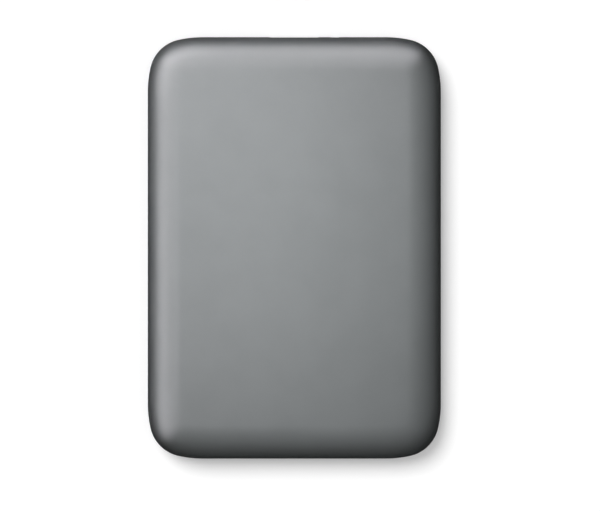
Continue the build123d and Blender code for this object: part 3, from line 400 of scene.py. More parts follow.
def carve(piece: bpy.types.Object, tool: Solid, carving: Carving) -> None:
    """Cut a helper solid out of a piece, or join it on, and keep only the result.

    Args:
        piece: Object whose mesh changes.
        tool: Helper solid in millimetres.
        carving: Whether the helper is cut out or joined on.
    """
    helper = mesh_object("carving_helper", tool)
    modifier = piece.modifiers.new("carving", "BOOLEAN")
    modifier.operation = carving.value
    modifier.solver = "EXACT"
    modifier.object = helper
    graph = bpy.context.evaluated_depsgraph_get()
    carved = bpy.data.meshes.new_from_object(piece.evaluated_get(graph))
    piece.modifiers.clear()
    former, piece.data = piece.data, carved
    carved.name = piece.name
    used = helper.data
    bpy.data.objects.remove(helper)
    bpy.data.meshes.remove(used)
    bpy.data.meshes.remove(former)


def smooth(piece: bpy.types.Object) -> None:
    """Shade a piece smoothly and keep the edges that turn sharply."""
    piece.data.shade_smooth()
    piece.data.set_sharp_from_angle(angle=EDGE_TURN)


def mount(piece: bpy.types.Object, body: Body, slot: str, *nodes: str) -> bpy.types.Object:
    """Smooth a new piece, put it on a body and hide the CAD nodes that it stands for.

    Args:
        piece: The new piece.
        body: Body that it rides on.
        slot: Material slot of the record that it belongs to. Not used.
        nodes: CAD nodes that it stands for.

    Returns:
        The same piece.
    """
    smooth(piece)
    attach(piece, body.value)
    if nodes:
        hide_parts(*nodes)
    return piece


def smooth_node(name: str) -> bpy.types.Object:
    """Shade a CAD node smoothly without touching its points.

    The node's triangles are loose, so one modifier welds them and the next parts them again at sharp edges.

    Args:
        name: Name of the node.

    Returns:
        The node's object.
    """
    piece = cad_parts[name]
    weld = piece.modifiers.new("weld", "WELD")
    weld.merge_threshold = WELD_REACH
    part = piece.modifiers.new("part", "EDGE_SPLIT")
    part.split_angle = EDGE_TURN
    piece.data.shade_smooth()
    return piece


class Graph:
    """Nodes of one material or world, added and joined in order.

    Attributes:
        owner: The material or world that the nodes belong to.
        tree: Its node tree.
    """

    def __init__(self, owner: bpy.types.Material | bpy.types.World) -> None:
        """Start with an empty tree.

        Args:
            owner: Material or world that gets the nodes.
        """
        owner.use_nodes = True
        self.owner, self.tree = owner, owner.node_tree
        self.tree.nodes.clear()

    def add(self, kind: str, inputs: dict | None = None, **settings: object) -> bpy.types.Node:
        """Add a node.

        Args:
            kind: Name of the shader node's type without its prefix.
            inputs: Values or output sockets by input name or number.
            settings: Other properties of the node.

        Returns:
            The new node.
        """
        node = self.tree.nodes.new("ShaderNode" + kind)
        for key, value in settings.items():
            setattr(node, key, value)
        for key, value in (inputs or {}).items():
            if isinstance(value, bpy.types.NodeSocket):
                self.tree.links.new(value, node.inputs[key])
            else:
                node.inputs[key].default_value = value
        return node

    def place(self, middle: Triple = (0, 0, 0), turn: float = 0, stretch: Triple = (1, 1, 1)) -> Socket:
        """Give object coordinates moved to a middle, turned about Z and stretched.

        Args:
            middle: Point in millimetres that becomes the pattern's origin.
            turn: Turn about Z in degrees.
            stretch: Factors along the three directions.

        Returns:
            The vector socket.
        """
        points = self.add("TexCoord").outputs["Object"]
        shift = self.add("Mapping", {"Vector": points, "Location": [-value * MM for value in middle]})
        turned = self.add("Mapping", {"Vector": shift.outputs[0], "Rotation": (0, 0, -math.radians(turn)),
                                      "Scale": stretch})
        return turned.outputs[0]

    def noise(self, grain: float, detail: float = 2, vector: Socket | None = None) -> Socket:
        """Give a noise value whose lumps are about this size.

        Args:
            grain: Size of a lump in millimetres.
            detail: Octaves of finer noise.
            vector: Coordinates, or none for plain object coordinates.

        Returns:
            The value socket, about 0.5 on average.
        """
        inputs = {"Vector": vector or self.place(), "Scale": 1 / (grain * MM), "Detail": detail}
        return self.add("TexNoise", inputs).outputs["Fac"]

    def wave(self, pitch: float, middle: Triple = (0, 0, 0), distortion: float = 0, **settings: object) -> Socket:
        """Give bands or rings about a middle: a sine of the place, once over every pitch.

        Args:
            pitch: Width of a band in millimetres.
            middle: Point in millimetres that the pattern starts from.
            distortion: How uneven the bands are.
            settings: Other properties of the wave node.

        Returns:
            The value socket from 0 to 1.
        """
        inputs = {"Vector": self.place(middle), "Scale": math.pi / (10 * pitch * MM), "Distortion": distortion}
        return self.add("TexWave", inputs, **settings).outputs["Fac"]

    def ramp(self, value: Socket, places: Pair, colors: tuple[Color, Color]) -> Socket:
        """Turn a value into a colour between two.

        Args:
            value: Value socket.
            places: Values from 0 to 1 where the two colours are reached.
            colors: The two colours.

        Returns:
            The colour socket.
        """
        node = self.add("ValToRGB", {"Fac": value})
        for element, place, color in zip(node.color_ramp.elements, places, colors):
            element.position = place
            element.color = (*color, 1)
        return node.outputs["Color"]

    def span(self, value: Socket, source: Pair, result: Pair) -> Socket:
        """Spread a value over another range.

        Args:
            value: Value socket.
            source: Range of the value.
            result: Range that it is spread over.

        Returns:
            The value socket.
        """
        ends = ("From Min", "From Max", "To Min", "To Max")
        return self.add("MapRange", {"Value": value, **dict(zip(ends, source + result))}).outputs["Result"]

    def bump(self, height: Socket, depth: float, strength: float) -> Socket:
        """Give the normal of a relief this many millimetres deep."""
        inputs = {"Height": height, "Distance": depth * MM, "Strength": strength}
        return self.add("Bump", inputs).outputs["Normal"]


def shade(color: Color, factor: float) -> Color:
    """Make a linear colour lighter or darker by a factor."""
    return tuple(value * factor for value in color)


class Pattern(NamedTuple):
    """Values that a finish follows: one for its tone, one for its gloss and one for its relief."""

    tone: Socket
    gloss: Socket
    height: Socket


@dataclass(frozen=True, kw_only=True)
class Finish:
    """Finish whose colour, roughness and relief follow a pattern.

    Attributes:
        color: Linear colour.
        tones: Factors of the colour where the tone is lowest and highest.
        tone_range: Tone values where these are reached.
        roughness: Middle roughness.
        spread: How far the roughness falls and rises.
        gloss_range: Gloss values where these are reached.
        depth: Height of the relief in millimetres.
        relief: Strength of the relief.
    """

    color: Color
    tones: Pair = (1.0, 1.0)
    tone_range: Pair = (0.3, 0.7)
    roughness: float = 0.5
    spread: Pair = (0.08, 0.08)
    gloss_range: Pair = (0.3, 0.7)
    depth: float = 0.01
    relief: float = 0.4

    def pattern(self, graph: Graph) -> Pattern:
        """Add the nodes of the pattern, which every finish has its own of."""
        raise NotImplementedError

    def surface(self) -> dict[str, float]:
        """Give the shader's inputs that are the same all over."""
        return {}

    def end_colors(self) -> tuple[Color, Color]:
        """Give the colours where the tone is lowest and highest."""
        low, high = self.tones
        return shade(self.color, low), shade(self.color, high)

    def material(self, name: str) -> bpy.types.Material:
        """Build the node material.

        Args:
            name: Name of the material.

        Returns:
            The material.
        """
        graph = Graph(bpy.data.materials.new(name))
        pattern = self.pattern(graph)
        ends = (self.roughness - self.spread[0], self.roughness + self.spread[1])
        shader = graph.add("BsdfPrincipled", {
            "Base Color": graph.ramp(pattern.tone, self.tone_range, self.end_colors()),
            "Roughness": graph.span(pattern.gloss, self.gloss_range, ends),
            "Normal": graph.bump(pattern.height, self.depth, self.relief),
            **self.surface(),
        })
        graph.add("OutputMaterial", {"Surface": shader.outputs["BSDF"]})
        return graph.owner


@dataclass(frozen=True, kw_only=True)
class SatinPaint(Finish):
    """Satin spray paint with a fine metallic grain over a faint broad mottle.

    Attributes:
        flake: Share of the surface that is metal flake.
        grain: Size of the paint's grain in millimetres.
        mottle: Size of the broad mottle in millimetres.
    """

    tones: Pair = (0.97, 1.03)
    tone_range: Pair = (0.35, 0.65)
    roughness: float = 0.44
    spread: Pair = (0.03, 0.03)
    depth: float = 0.004
    relief: float = 0.12
    flake: float = 0.025
    grain: float = 0.09
    mottle: float = 9.0

    def pattern(self, graph: Graph) -> Pattern:
        """Tone from the mean of grain and mottle, gloss from the mottle and relief from the grain.

        Args:
            graph: Graph that gets the nodes.

        Returns:
            The pattern's values.
        """
        grain, mottle = graph.noise(self.grain, detail=1), graph.noise(self.mottle, detail=3)
        both = graph.add("Math", {0: grain, 1: mottle}, operation="ADD")
        mean = graph.add("Math", {0: both.outputs[0], 1: 0.5}, operation="MULTIPLY")
        return Pattern(mean.outputs[0], mottle, grain)

    def surface(self) -> dict[str, float]:
        """Flake in a binder that has no shine of its own."""
        return {"Metallic": self.flake, "Specular IOR Level": 0.0}


@dataclass(frozen=True, kw_only=True)
class MouldedPlastic(Finish):
    """Moulded plastic or rubber with the fine even texture of its mould.

    Attributes:
        shine: Specular level.
        grain: Size of the texture in millimetres.
        flow: How many times larger the flow marks are than the texture.
    """

    tones: Pair = (0.88, 1.12)
    roughness: float = 0.55
    relief: float = 0.5
    shine: float = 0.4
    grain: float = 0.12
    flow: float = 40.0

    def pattern(self, graph: Graph) -> Pattern:
        """Tone from the flow marks, gloss and relief from the texture."""
        texture = graph.noise(self.grain)
        return Pattern(graph.noise(self.grain * self.flow), texture, texture)

    def surface(self) -> dict[str, float]:
        """Shine of plastic."""
        return {"Specular IOR Level": self.shine}


@dataclass(frozen=True, kw_only=True)
class BareMetal(Finish):
    """Metal without paint, whose tone changes in broad clouds."""

    tone_range: Pair = (0.25, 0.75)

    def surface(self) -> dict[str, float]:
        """Metal all over."""
        return {"Metallic": 1.0}


@dataclass(frozen=True, kw_only=True)
class BrushedMetal(BareMetal):
    """Sheet or milled metal with fine straight marks along one direction.

    Attributes:
        grain: Width of a mark in millimetres.
        run: How many times longer a mark is than wide.
        turn: Direction of the marks in degrees from Y.
        cloud: How many times larger the clouds are than a mark is wide.
    """

    tones: Pair = (0.86, 1.08)
    roughness: float = 0.32
    spread: Pair = (0.1, 0.1)
    depth: float = 0.004
    grain: float = 0.08
    run: float = 30.0
    turn: float = 0.0
    cloud: float = 60.0

    def pattern(self, graph: Graph) -> Pattern:
        """Tone from the clouds, gloss and relief from noise that is stretched along the marks."""
        marks = graph.noise(self.grain, vector=graph.place(turn=self.turn, stretch=(1, 1 / self.run, 1)))
        return Pattern(graph.noise(self.grain * self.cloud, detail=3), marks, marks)


@dataclass(frozen=True, kw_only=True)
class TurnedMetal(BareMetal):
    """Lathe-turned or polished metal with fine rings about an upright axis.

    Attributes:
        axis: Point in millimetres that the rings run round.
        pitch: Width of a ring in millimetres.
        uneven: How uneven the rings are.
        cloud: How many times larger the clouds are than a ring is wide.
    """

    axis: Triple
    tones: Pair = (0.93, 1.04)
    roughness: float = 0.22
    gloss_range: Pair = (0.0, 1.0)
    depth: float = 0.003
    relief: float = 0.3
    pitch: float = 0.15
    uneven: float = 0.6
    cloud: float = 40.0

    def pattern(self, graph: Graph) -> Pattern:
        """Tone from the clouds, gloss and relief from slightly uneven rings."""
        rings = graph.wave(self.pitch, self.axis, self.uneven, wave_type="RINGS", rings_direction="Z")
        return Pattern(graph.noise(self.pitch * self.cloud, detail=3), rings, rings)


@dataclass(frozen=True, kw_only=True)
class CastMetal(BareMetal):
    """Die-cast metal with a pebbled skin.

    Attributes:
        grain: Size of a pebble in millimetres.
        flow: How many times larger the flow marks are than a pebble.
    """

    tones: Pair = (0.8, 1.1)
    roughness: float = 0.38
    spread: Pair = (0.08, 0.12)
    depth: float = 0.02
    relief: float = 0.35
    grain: float = 0.35
    flow: float = 30.0

    def pattern(self, graph: Graph) -> Pattern:
        """Tone and gloss from the flow marks, relief from the distance to the middle of a pebble.

        Args:
            graph: Graph that gets the nodes.

        Returns:
            The pattern's values.
        """
        cells = {"Vector": graph.place(), "Scale": 1 / (self.grain * MM)}
        pebbles = graph.add("TexVoronoi", cells, feature="SMOOTH_F1").outputs["Distance"]
        flow = graph.noise(self.grain * self.flow, detail=4)
        return Pattern(flow, flow, pebbles)


@dataclass(frozen=True, kw_only=True)
class TwoTone(Finish):
    """Finish with a second colour where the tone is highest.

    Attributes:
        second: The second linear colour.
        cloud: Size of the gloss's clouds in millimetres.
        shine: Specular level.
    """

    second: Color
    cloud: float
    spread: Pair = (0.07, 0.07)
    shine: float = 0.5

    def end_colors(self) -> tuple[Color, Color]:
        """Give the two colours."""
        return self.color, self.second

    def surface(self) -> dict[str, float]:
        """Shine of lacquer or film."""
        return {"Specular IOR Level": self.shine}


@dataclass(frozen=True, kw_only=True)
class CircuitBoard(TwoTone):
    """Solder mask over copper: straight tracks and planes show as lighter, raised fields.

    Attributes:
        pitch: Length of a track field in millimetres.
    """

    cloud: float = 1.5
    tone_range: Pair = (0.1, 0.9)
    roughness: float = 0.35
    depth: float = 0.03
    relief: float = 0.5
    pitch: float = 2.4

    def pattern(self, graph: Graph) -> Pattern:
        """Tone and relief from rows of long bricks in two levels with bare board between them.

        Args:
            graph: Graph that gets the nodes.

        Returns:
            The pattern's values.
        """
        inputs = {"Vector": graph.place(), "Scale": 1 / (self.pitch * MM), "Mortar Size": 0.06,
                  "Mortar Smooth": 0.2, "Brick Width": 1.6, "Row Height": 0.22,
                  "Color1": (1, 1, 1, 1), "Color2": (0.4, 0.4, 0.4, 1), "Mortar": (0, 0, 0, 1)}
        tracks = graph.add("TexBrick", inputs).outputs["Color"]
        level = graph.add("RGBToBW", {"Color": tracks}).outputs[0]
        return Pattern(level, graph.noise(self.cloud, detail=3), level)


@dataclass(frozen=True, kw_only=True)
class FlexFilm(TwoTone):
    """Amber film with copper lines inside it that run level along the ribbon.

    Attributes:
        pitch: Distance between lines in millimetres.
    """

    cloud: float = 0.8
    tone_range: Pair = (0.35, 0.6)
    roughness: float = 0.29
    pitch: float = 0.25

    def pattern(self, graph: Graph) -> Pattern:
        """Tone and relief from level lines, gloss from clouds."""
        lines = graph.wave(self.pitch, wave_type="BANDS", bands_direction="Z")
        return Pattern(lines, graph.noise(self.cloud, detail=3), lines)


@dataclass(frozen=True, kw_only=True)
class GrainedFinish(Finish):
    """Finish in which one noise gives the tone, the gloss and the relief.

    Attributes:
        grain: Size of the noise's lumps in millimetres.
        detail: Octaves of finer noise.
        stretch: Factors along the three directions.
    """

    grain: float
    detail: float = 3
    stretch: Triple = (1, 1, 1)

    def pattern(self, graph: Graph) -> Pattern:
        """Tone, gloss and relief from the one noise."""
        noise = graph.noise(self.grain, self.detail, graph.place(stretch=self.stretch))
        return Pattern(noise, noise, noise)


@dataclass(frozen=True, kw_only=True)
class EnamelWire(GrainedFinish):
    """Enamelled copper with streaks from wire to wire."""

    grain: float = 0.4
    tones: Pair = (0.78, 1.15)
    roughness: float = 0.3
    spread: Pair = (0.06, 0.08)
    depth: float = 0.004

    def surface(self) -> dict[str, float]:
        """Metal under clear enamel."""
        return {"Metallic": 0.9, "Coat Weight": 0.6}


@dataclass(frozen=True, kw_only=True)
class FilterFelt(GrainedFinish):
    """White fibre mat with a fuzzy surface, its lumps drawn out into fibres along Y."""

    grain: float = 0.2
    detail: float = 5
    stretch: Triple = (1, 0.25, 1)
    tones: Pair = (0.7, 1.0)
    roughness: float = 0.925
    spread: Pair = (0.075, 0.075)
    depth: float = 0.08
    relief: float = 0.7

    def surface(self) -> dict[str, float]:
        """Dull fibres with a fuzz."""
        return {"Specular IOR Level": 0.1, "Sheen Weight": 0.3}


@dataclass(frozen=True, kw_only=True)
class FrostedClear(GrainedFinish):
    """Clear plastic with a frosted skin."""

    grain: float = 0.1
    tones: Pair = (0.92, 1.0)
    roughness: float = 0.3
    spread: Pair = (0.08, 0.1)

    def surface(self) -> dict[str, float]:
        """Clear plastic that passes about half of the light."""
        return {"IOR": 1.49, "Transmission Weight": 0.55}


SPINDLE = tuple(float(value) for value in node_middle("platter"))


class Coat(Enum):
    """Finishes of the drive's pieces. A material has its coat's name in small letters."""

    SATIN_GREY_PAINT = SatinPaint(color=linear(141, 145, 146))
    BLACK_RUBBER = MouldedPlastic(color=linear(38, 38, 40), roughness=0.7, shine=0.3)
    BLACK_PLASTIC = MouldedPlastic(color=linear(40, 40, 42), roughness=0.5)
    CREAM_PLASTIC = MouldedPlastic(color=linear(226, 220, 204), roughness=0.42, tones=(0.95, 1.05))
    CHIP_BLACK = MouldedPlastic(color=linear(34, 34, 36), roughness=0.62, grain=0.06)
    SLIDER_CERAMIC = MouldedPlastic(color=linear(48, 47, 50), roughness=0.3)
    PLAIN_STEEL = BrushedMetal(color=linear(176, 177, 179), roughness=0.34)
    BRIGHT_STEEL = BrushedMetal(color=linear(205, 205, 207), roughness=0.24)
    MILLED_ALUMINIUM = BrushedMetal(color=linear(214, 216, 219), roughness=0.28, turn=70.0)
    NICKEL_PLATE = BrushedMetal(color=linear(214, 210, 202), roughness=0.2, run=4.0, depth=0.002)
    GOLD_PLATE = BrushedMetal(color=linear(214, 176, 104), roughness=0.24, grain=0.04, run=8.0, depth=0.001)
    TURNED_ALUMINIUM = TurnedMetal(color=linear(218, 220, 222), axis=SPINDLE)
    PLATTER_MIRROR = TurnedMetal(color=linear(226, 227, 230), axis=SPINDLE, roughness=0.06, pitch=0.4,
                                 depth=0.0004, spread=(0.02, 0.02))
    CAST_ALUMINIUM = CastMetal(color=linear(196, 198, 202))
    GREEN_BOARD = CircuitBoard(color=linear(24, 74, 50), second=linear(44, 112, 74))
    FLEX_FILM = FlexFilm(color=linear(150, 84, 24), second=linear(190, 120, 52))
    COPPER_WIRE = EnamelWire(color=linear(205, 122, 72))
    FILTER_FELT = FilterFelt(color=linear(238, 238, 234))
    FROSTED_CLEAR = FrostedClear(color=linear(232, 236, 240))


@dataclass
class Wardrobe:
    """Coats of the drive, each made into a material once.

    Attributes:
        made: Materials that exist already.
    """

    made: dict[Coat, bpy.types.Material] = field(default_factory=dict)

    def dress(self, piece: bpy.types.Object, coat: Coat) -> None:
        """Give a piece one coat.

        Args:
            piece: Object to dress.
            coat: Its coat.
        """
        if coat not in self.made:
            self.made[coat] = coat.value.material(coat.name.lower())
        piece.data.materials.clear()
        piece.data.materials.append(self.made[coat])
        log.info("%s wears %s", piece.name, coat.name.lower())

    def dress_nodes(self, coat: Coat, *nodes: str) -> None:
        """Smooth several CAD nodes and give them one coat."""
        for node in nodes:
            self.dress(smooth_node(node), coat)


@dataclass
class Enclosure:
    """Both painted covers and the rubber corners between them and the drive.

    Attributes:
        wall: Thickness of the covers.
        corner_reach: Length of side that a plan corner takes.
        corner_radius: Radius of the tight middle arc of a plan corner.
        corner_ease: Degrees of the wider arc on each side of it.
        roof_corner_radius: Plan radius left at the roof's corner.
        seam_land: Upright band on each side of the seam.
        seam_chamfer: Broken edge on each side of the seam.
        lip_thickness: Thickness of the bottom cover's lip.
        lip_clearance: Air round the lip.
        snap_size: Depth, length and height of a snap.
        snap_pitch: Distance from snap to snap.
        rib_thickness: Thickness of the ribs.
        roof_rib_depth: Depth of the ribs under the roof.
        floor_rib_height: Height of the ribs on the floor.
        rib_pitch: Half the distance between the long ribs.
        rib_span: Length of the long ribs.
        peg_radius: Radius of a peg that holds the bridge board.
        foot_radius: Radius of the peg's foot.
        peg_inset: Distance of a peg from the bridge board's end.
        peg_ahead: Distance of a peg from the bridge board's rear edge.
        peg_rise: Height of a peg above the bridge board.
        port_gap: Air round the port socket.
        port_corner: Corner radius of the port mouth.
        pipe_tall: Height of the light pipe's outer end.
        slot_gap: Air round the light pipe.
        corner_points: Points on a wide arc and on the tight arc of a plan corner.
        side_points: Points on half a long side and on half a short side of the plan.
        roof_steps: Chords of the top cover's edge outside and inside.
        floor_steps: Chords of the bottom cover's edge outside and inside.
        lip_steps: Chords of the lip's inner face.
        fill_shares: Sizes of the rings that fill a flat end, as shares of its outline.
        foot_points: Points round a peg's foot.
        peg_points: Points round a peg.
        peg_start: Turn of a peg's first point, in shares of the step between points.
    """

    wall: float = 1.5
    corner_reach: float = 15.0
    corner_radius: float = 10.0
    corner_ease: float = 12.8
    roof_corner_radius: float = 0.3
    seam_land: float = 0.7
    seam_chamfer: float = 0.25
    lip_thickness: float = 0.7
    lip_clearance: float = 0.1
    snap_size: Triple = (0.3, 8.0, 0.5)
    snap_pitch: float = 28.0
    rib_thickness: float = 1.0
    roof_rib_depth: float = 1.4
    floor_rib_height: float = 0.6
    rib_pitch: float = 16.0
    rib_span: float = 79.35
    peg_radius: float = 0.9
    foot_radius: float = 1.9
    peg_inset: float = 2.5
    peg_ahead: float = 3.4
    peg_rise: float = 0.3
    port_gap: float = 0.35
    port_corner: float = 0.8
    pipe_tall: float = 1.0
    slot_gap: float = 0.05
    corner_points: tuple[int, int] = (6, 22)
    side_points: tuple[int, int] = (12, 8)
    roof_steps: tuple[int, int] = (40, 24)
    floor_steps: tuple[int, int] = (20, 12)
    lip_steps: int = 3
    fill_shares: tuple[float, ...] = (0.02, 0.3, 0.6, 0.85, 0.975)
    foot_points: int = 40
    peg_points: int = 28
    peg_start: float = 0.4

    def __post_init__(self) -> None:
        """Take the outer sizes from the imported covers."""
        self.half_width, self.half_length, self.height = (float(value) for value in node_box("top_cover")[1])
        self.seam = node_heights("top_cover")[0]
        self.lip_top = node_heights("bottom_cover")[1]
        self.top_edge = min(self.height - self.seam - self.seam_land, self.corner_radius - self.roof_corner_radius)
        self.bottom_edge = self.seam - self.seam_land

    def plan(self) -> tuple[np.ndarray, np.ndarray]:
        """Trace the covers' plan: straight sides joined by corners of a wide, a tight and a wide arc.

        A corner point is the arc's centre plus its radius times (cos, sin) of the direction that it faces. One
        quarter is worked out and mirrored into the other three.

        Returns:
            Points of the plan and the outward direction at each, two values to a row.
        """
        ease = math.radians(self.corner_ease)
        step = math.cos(ease) - math.sin(ease)
        wide = (self.corner_reach - self.corner_radius * step) / (1 - step)
        inset = wide - (wide - self.corner_radius) * math.cos(ease)
        wide_points, tight_points = self.corner_points
        turn = np.concatenate([np.linspace(0, ease, wide_points, endpoint=False),
                               np.linspace(ease, math.pi / 2 - ease, tight_points, endpoint=False),
                               np.linspace(math.pi / 2 - ease, math.pi / 2, wide_points + 1)])
        early, late = turn < ease, turn > math.pi / 2 - ease
        radius = np.where(early | late, wide, self.corner_radius)
        centre_x = self.half_width - np.select([early, late], [wide, self.corner_reach], inset)
        centre_y = self.half_length - np.select([early, late], [self.corner_reach, wide], inset)
        facing = np.stack([np.cos(turn), np.sin(turn)], -1)
        corner = np.stack([centre_x, centre_y], -1) + radius[:, None] * facing
        side = np.linspace((self.half_width, 0), corner[0], self.side_points[0], endpoint=False)
        end = np.linspace(corner[-1], (0, self.half_length), self.side_points[1])[1:]
        quarter = np.concatenate([side, corner, end])
        outward = np.concatenate([np.tile((1.0, 0.0), (len(side), 1)), facing, np.tile((0.0, 1.0), (len(end), 1))])

        def all_round(part: np.ndarray) -> np.ndarray:
            """Mirror a quarter into the whole loop without its doubled points."""
            loop = [part, part[-2::-1] * (-1, 1), part[1:] * (-1, -1), part[-2:0:-1] * (1, -1)]
            return np.concatenate(loop)

        return all_round(quarter), all_round(outward)

    def edge_arc(self, shift: float, start: float, end: float, steps: int, roof: bool) -> np.ndarray:
        """Section of a rounded long edge, moved in by shift, between two turns from the level.

        At a turn t the inset is the edge radius less (radius - shift) sin t, and the height is the arc's centre
        plus or minus (radius - shift) cos t.

        Args:
            shift: Distance inside the outer surface.
            start: First turn in degrees, 0 at the flat and 90 at the upright wall.
            end: Last turn in degrees.
            steps: Number of chords.
            roof: True for the upper edge and False for the lower one.

        Returns:
            Inset and height, two values to a row.
        """
        edge = self.top_edge if roof else self.bottom_edge
        centre, sign = (self.height - edge, 1) if roof else (edge, -1)
        turn = np.radians(np.linspace(start, end, steps + 1))
        radius = edge - shift
        return np.stack([edge - radius * np.sin(turn), centre + sign * radius * np.cos(turn)], -1)

    def shell(self, section: np.ndarray) -> Solid:
        """Carry a section round the plan: each point moves in from the plan by its inset and up to its height.

        The first and the last ring are flat and are filled by copies scaled towards the middle.

        Args:
            section: Inset and height of each ring, two values to a row.

        Returns:
            The closed cover.
        """
        points, outward = self.plan()
        rings = points[None] - section[:, 0, None, None] * outward[None]
        heights = np.broadcast_to(section[:, 1, None, None], (*rings.shape[:2], 1))
        rings = np.concatenate([rings, heights], -1)
        shares = np.array(self.fill_shares)[:, None, None]
        level = np.array([1.0, 1.0, 0.0])
        first = rings[0] * (shares * level + 1 - level)
        last = rings[-1] * (shares[::-1] * level + 1 - level)
        return swept(np.concatenate([first, rings, last]))

    def inner_turn(self, height: float) -> float:
        """Turn in degrees at which the inner face of the upper edge reaches this height."""
        rise = height - (self.height - self.top_edge)
        return math.degrees(math.acos(rise / (self.top_edge - self.wall)))

    def top_section(self) -> np.ndarray:
        """Section of the top cover: round edge, land, broken seam edge, rebate for the lip and inner face.

        Returns:
            Inset and height, two values to a row.
        """
        rebate = self.wall - self.lip_thickness - self.lip_clearance
        ceiling = self.lip_top + self.lip_clearance
        outer = self.edge_arc(0, 0, 90, self.roof_steps[0], True)
        seam = [(0, self.seam + self.seam_chamfer), (self.seam_chamfer, self.seam), (rebate, self.seam),
                (rebate, ceiling)]
        inner = self.edge_arc(self.wall, self.inner_turn(ceiling), 0, self.roof_steps[1], True)
        return np.concatenate([outer, seam, inner])

    def bottom_section(self) -> np.ndarray:
        """Section of the bottom cover: round edge, land, broken seam edge, lip and inner face.

        Returns:
            Inset and height, two values to a row.
        """
        lip = self.wall - self.lip_thickness
        outer = self.edge_arc(0, 0, 90, self.floor_steps[0], False)
        seam = [(0, self.seam - self.seam_chamfer), (self.seam_chamfer, self.seam), (lip, self.seam),
                (lip, self.lip_top)]
        upper = self.edge_arc(self.wall, self.inner_turn(self.lip_top), 90, self.lip_steps, True)
        lower = self.edge_arc(self.wall, 90, 0, self.floor_steps[1], False)
        return np.concatenate([outer, seam, upper, lower])

    def long_ribs(self, low: float, high: float) -> Solid:
        """Two ribs along the drive between two heights."""
        size = (self.rib_thickness, self.rib_span, high - low)
        return merged(block((side * self.rib_pitch, 0, (low + high) / 2), size) for side in (-1, 1))

    def cross_ribs(self, low: float, high: float) -> Solid:
        """Three ribs from one long rib to the other between two heights."""
        size = (2 * self.rib_pitch, self.rib_thickness, high - low)
        return merged(block((0, along * 2 * self.rib_pitch, (low + high) / 2), size) for along in (-1, 0, 1))

    def snaps(self, grow: float) -> Solid:
        """Snap blocks along both sides of the lip.

        Args:
            grow: How much larger the blocks are all round.

        Returns:
            The closed blocks.
        """
        across = self.half_width - self.wall + self.lip_thickness
        middle = (self.seam + self.lip_top) / 2
        depth, length, tall = self.snap_size
        size = (2 * depth + 2 * grow, length + 2 * grow, tall + 2 * grow)
        return merged(block((side * across, along * self.snap_pitch, middle), size)
                      for side in (-1, 1) for along in (-1, 0, 1))

    def peg_rounds(self, plan: np.ndarray, bottom: float, top: float) -> Solid:
        """Round bosses at both ends of the bridge board.

        Args:
            plan: Outline of a boss about its middle.
            bottom: Height where the bosses start.
            top: Height where they end.

        Returns:
            The closed bosses.
        """
        high = node_box("bridge_board")[1]
        across, along = high[0] - self.peg_inset, high[1] - self.peg_ahead
        return merged(prism(plan + (side * across, along), bottom, top) for side in (-1, 1))

    def end_opening(self, outline: np.ndarray) -> Solid:
        """Helper solid that opens the port end's wall to this outline in X and Z."""
        return prism(outline, self.half_length - 2 * self.wall, self.half_length + self.wall, Lie.ALONG_Y)

    def port_mouth(self, extra: float) -> Solid:
        """Rounded opening round the port socket.

        Args:
            extra: How much further up it reaches.

        Returns:
            The helper solid.
        """
        low, high = node_box("usb_shell")
        width, tall = high[0] - low[0] + 2 * self.port_gap, high[2] - low[2] + 2 * self.port_gap + extra
        middle = ((low[0] + high[0]) / 2, low[2] - self.port_gap + tall / 2)
        return self.end_opening(rounded_plan(width, tall, self.port_corner) + middle)

    def light_slot(self) -> Solid:
        """Opening with square corners round the outer end of the light pipe, which is at the pipe's top.

        Returns:
            The helper solid.
        """
        low, high = node_box("light_pipe")
        size = np.array([high[0] - low[0], self.pipe_tall]) + 2 * self.slot_gap
        return self.end_opening(QUARTERS * size / 2 + ((low[0] + high[0]) / 2, high[2] - self.pipe_tall / 2))

    def top_cover(self) -> bpy.types.Object:
        """Make the top cover with its ribs, grooves for the snaps, port mouth and light slot.

        Returns:
            The cover's object.
        """
        roof = self.height - self.wall
        low, high = roof - self.roof_rib_depth, roof + self.wall / 2
        cover = mesh_object("top_cover_skin", self.shell(self.top_section()))
        carve(cover, self.long_ribs(low, high), Carving.JOIN)
        carve(cover, self.cross_ribs(low, high), Carving.JOIN)
        carve(cover, self.snaps(self.lip_clearance) + self.port_mouth(0) + self.light_slot(), Carving.CUT)
        return cover

    def bottom_cover(self) -> bpy.types.Object:
        """Make the bottom cover with its ribs, snaps, pegs and port mouth.

        Returns:
            The cover's object.
        """
        low, high = self.wall / 2, self.wall + self.floor_rib_height
        board_low, board_high = node_heights("bridge_board")
        feet = self.peg_rounds(round_plan(self.foot_radius, self.foot_points), low, board_low)
        pegs = self.peg_rounds(round_plan(self.peg_radius, self.peg_points, self.peg_start), self.wall,
                               board_high + self.peg_rise)
        cover = mesh_object("bottom_cover_skin", self.shell(self.bottom_section()))
        carve(cover, self.long_ribs(low, high) + self.snaps(0) + feet, Carving.JOIN)
        carve(cover, self.cross_ribs(low, high) + pegs, Carving.JOIN)
        carve(cover, self.port_mouth(2 * (self.lip_top - self.seam)), Carving.CUT)
        return cover

    def build(self, wardrobe: Wardrobe) -> None:
        """Make both covers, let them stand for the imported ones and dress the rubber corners.

        Args:
            wardrobe: Where the coats come from.
        """
        for cover, node in ((self.top_cover(), "top_cover"), (self.bottom_cover(), "bottom_cover")):
            mount(cover, Body.HOUSING, "cover_paint", node)
            wardrobe.dress(cover, Coat.SATIN_GREY_PAINT)
        corners = [f"bumper_{end}_{side}" for end in ("front", "rear") for side in ("left", "right")]
        wardrobe.dress_nodes(Coat.BLACK_RUBBER, *corners)


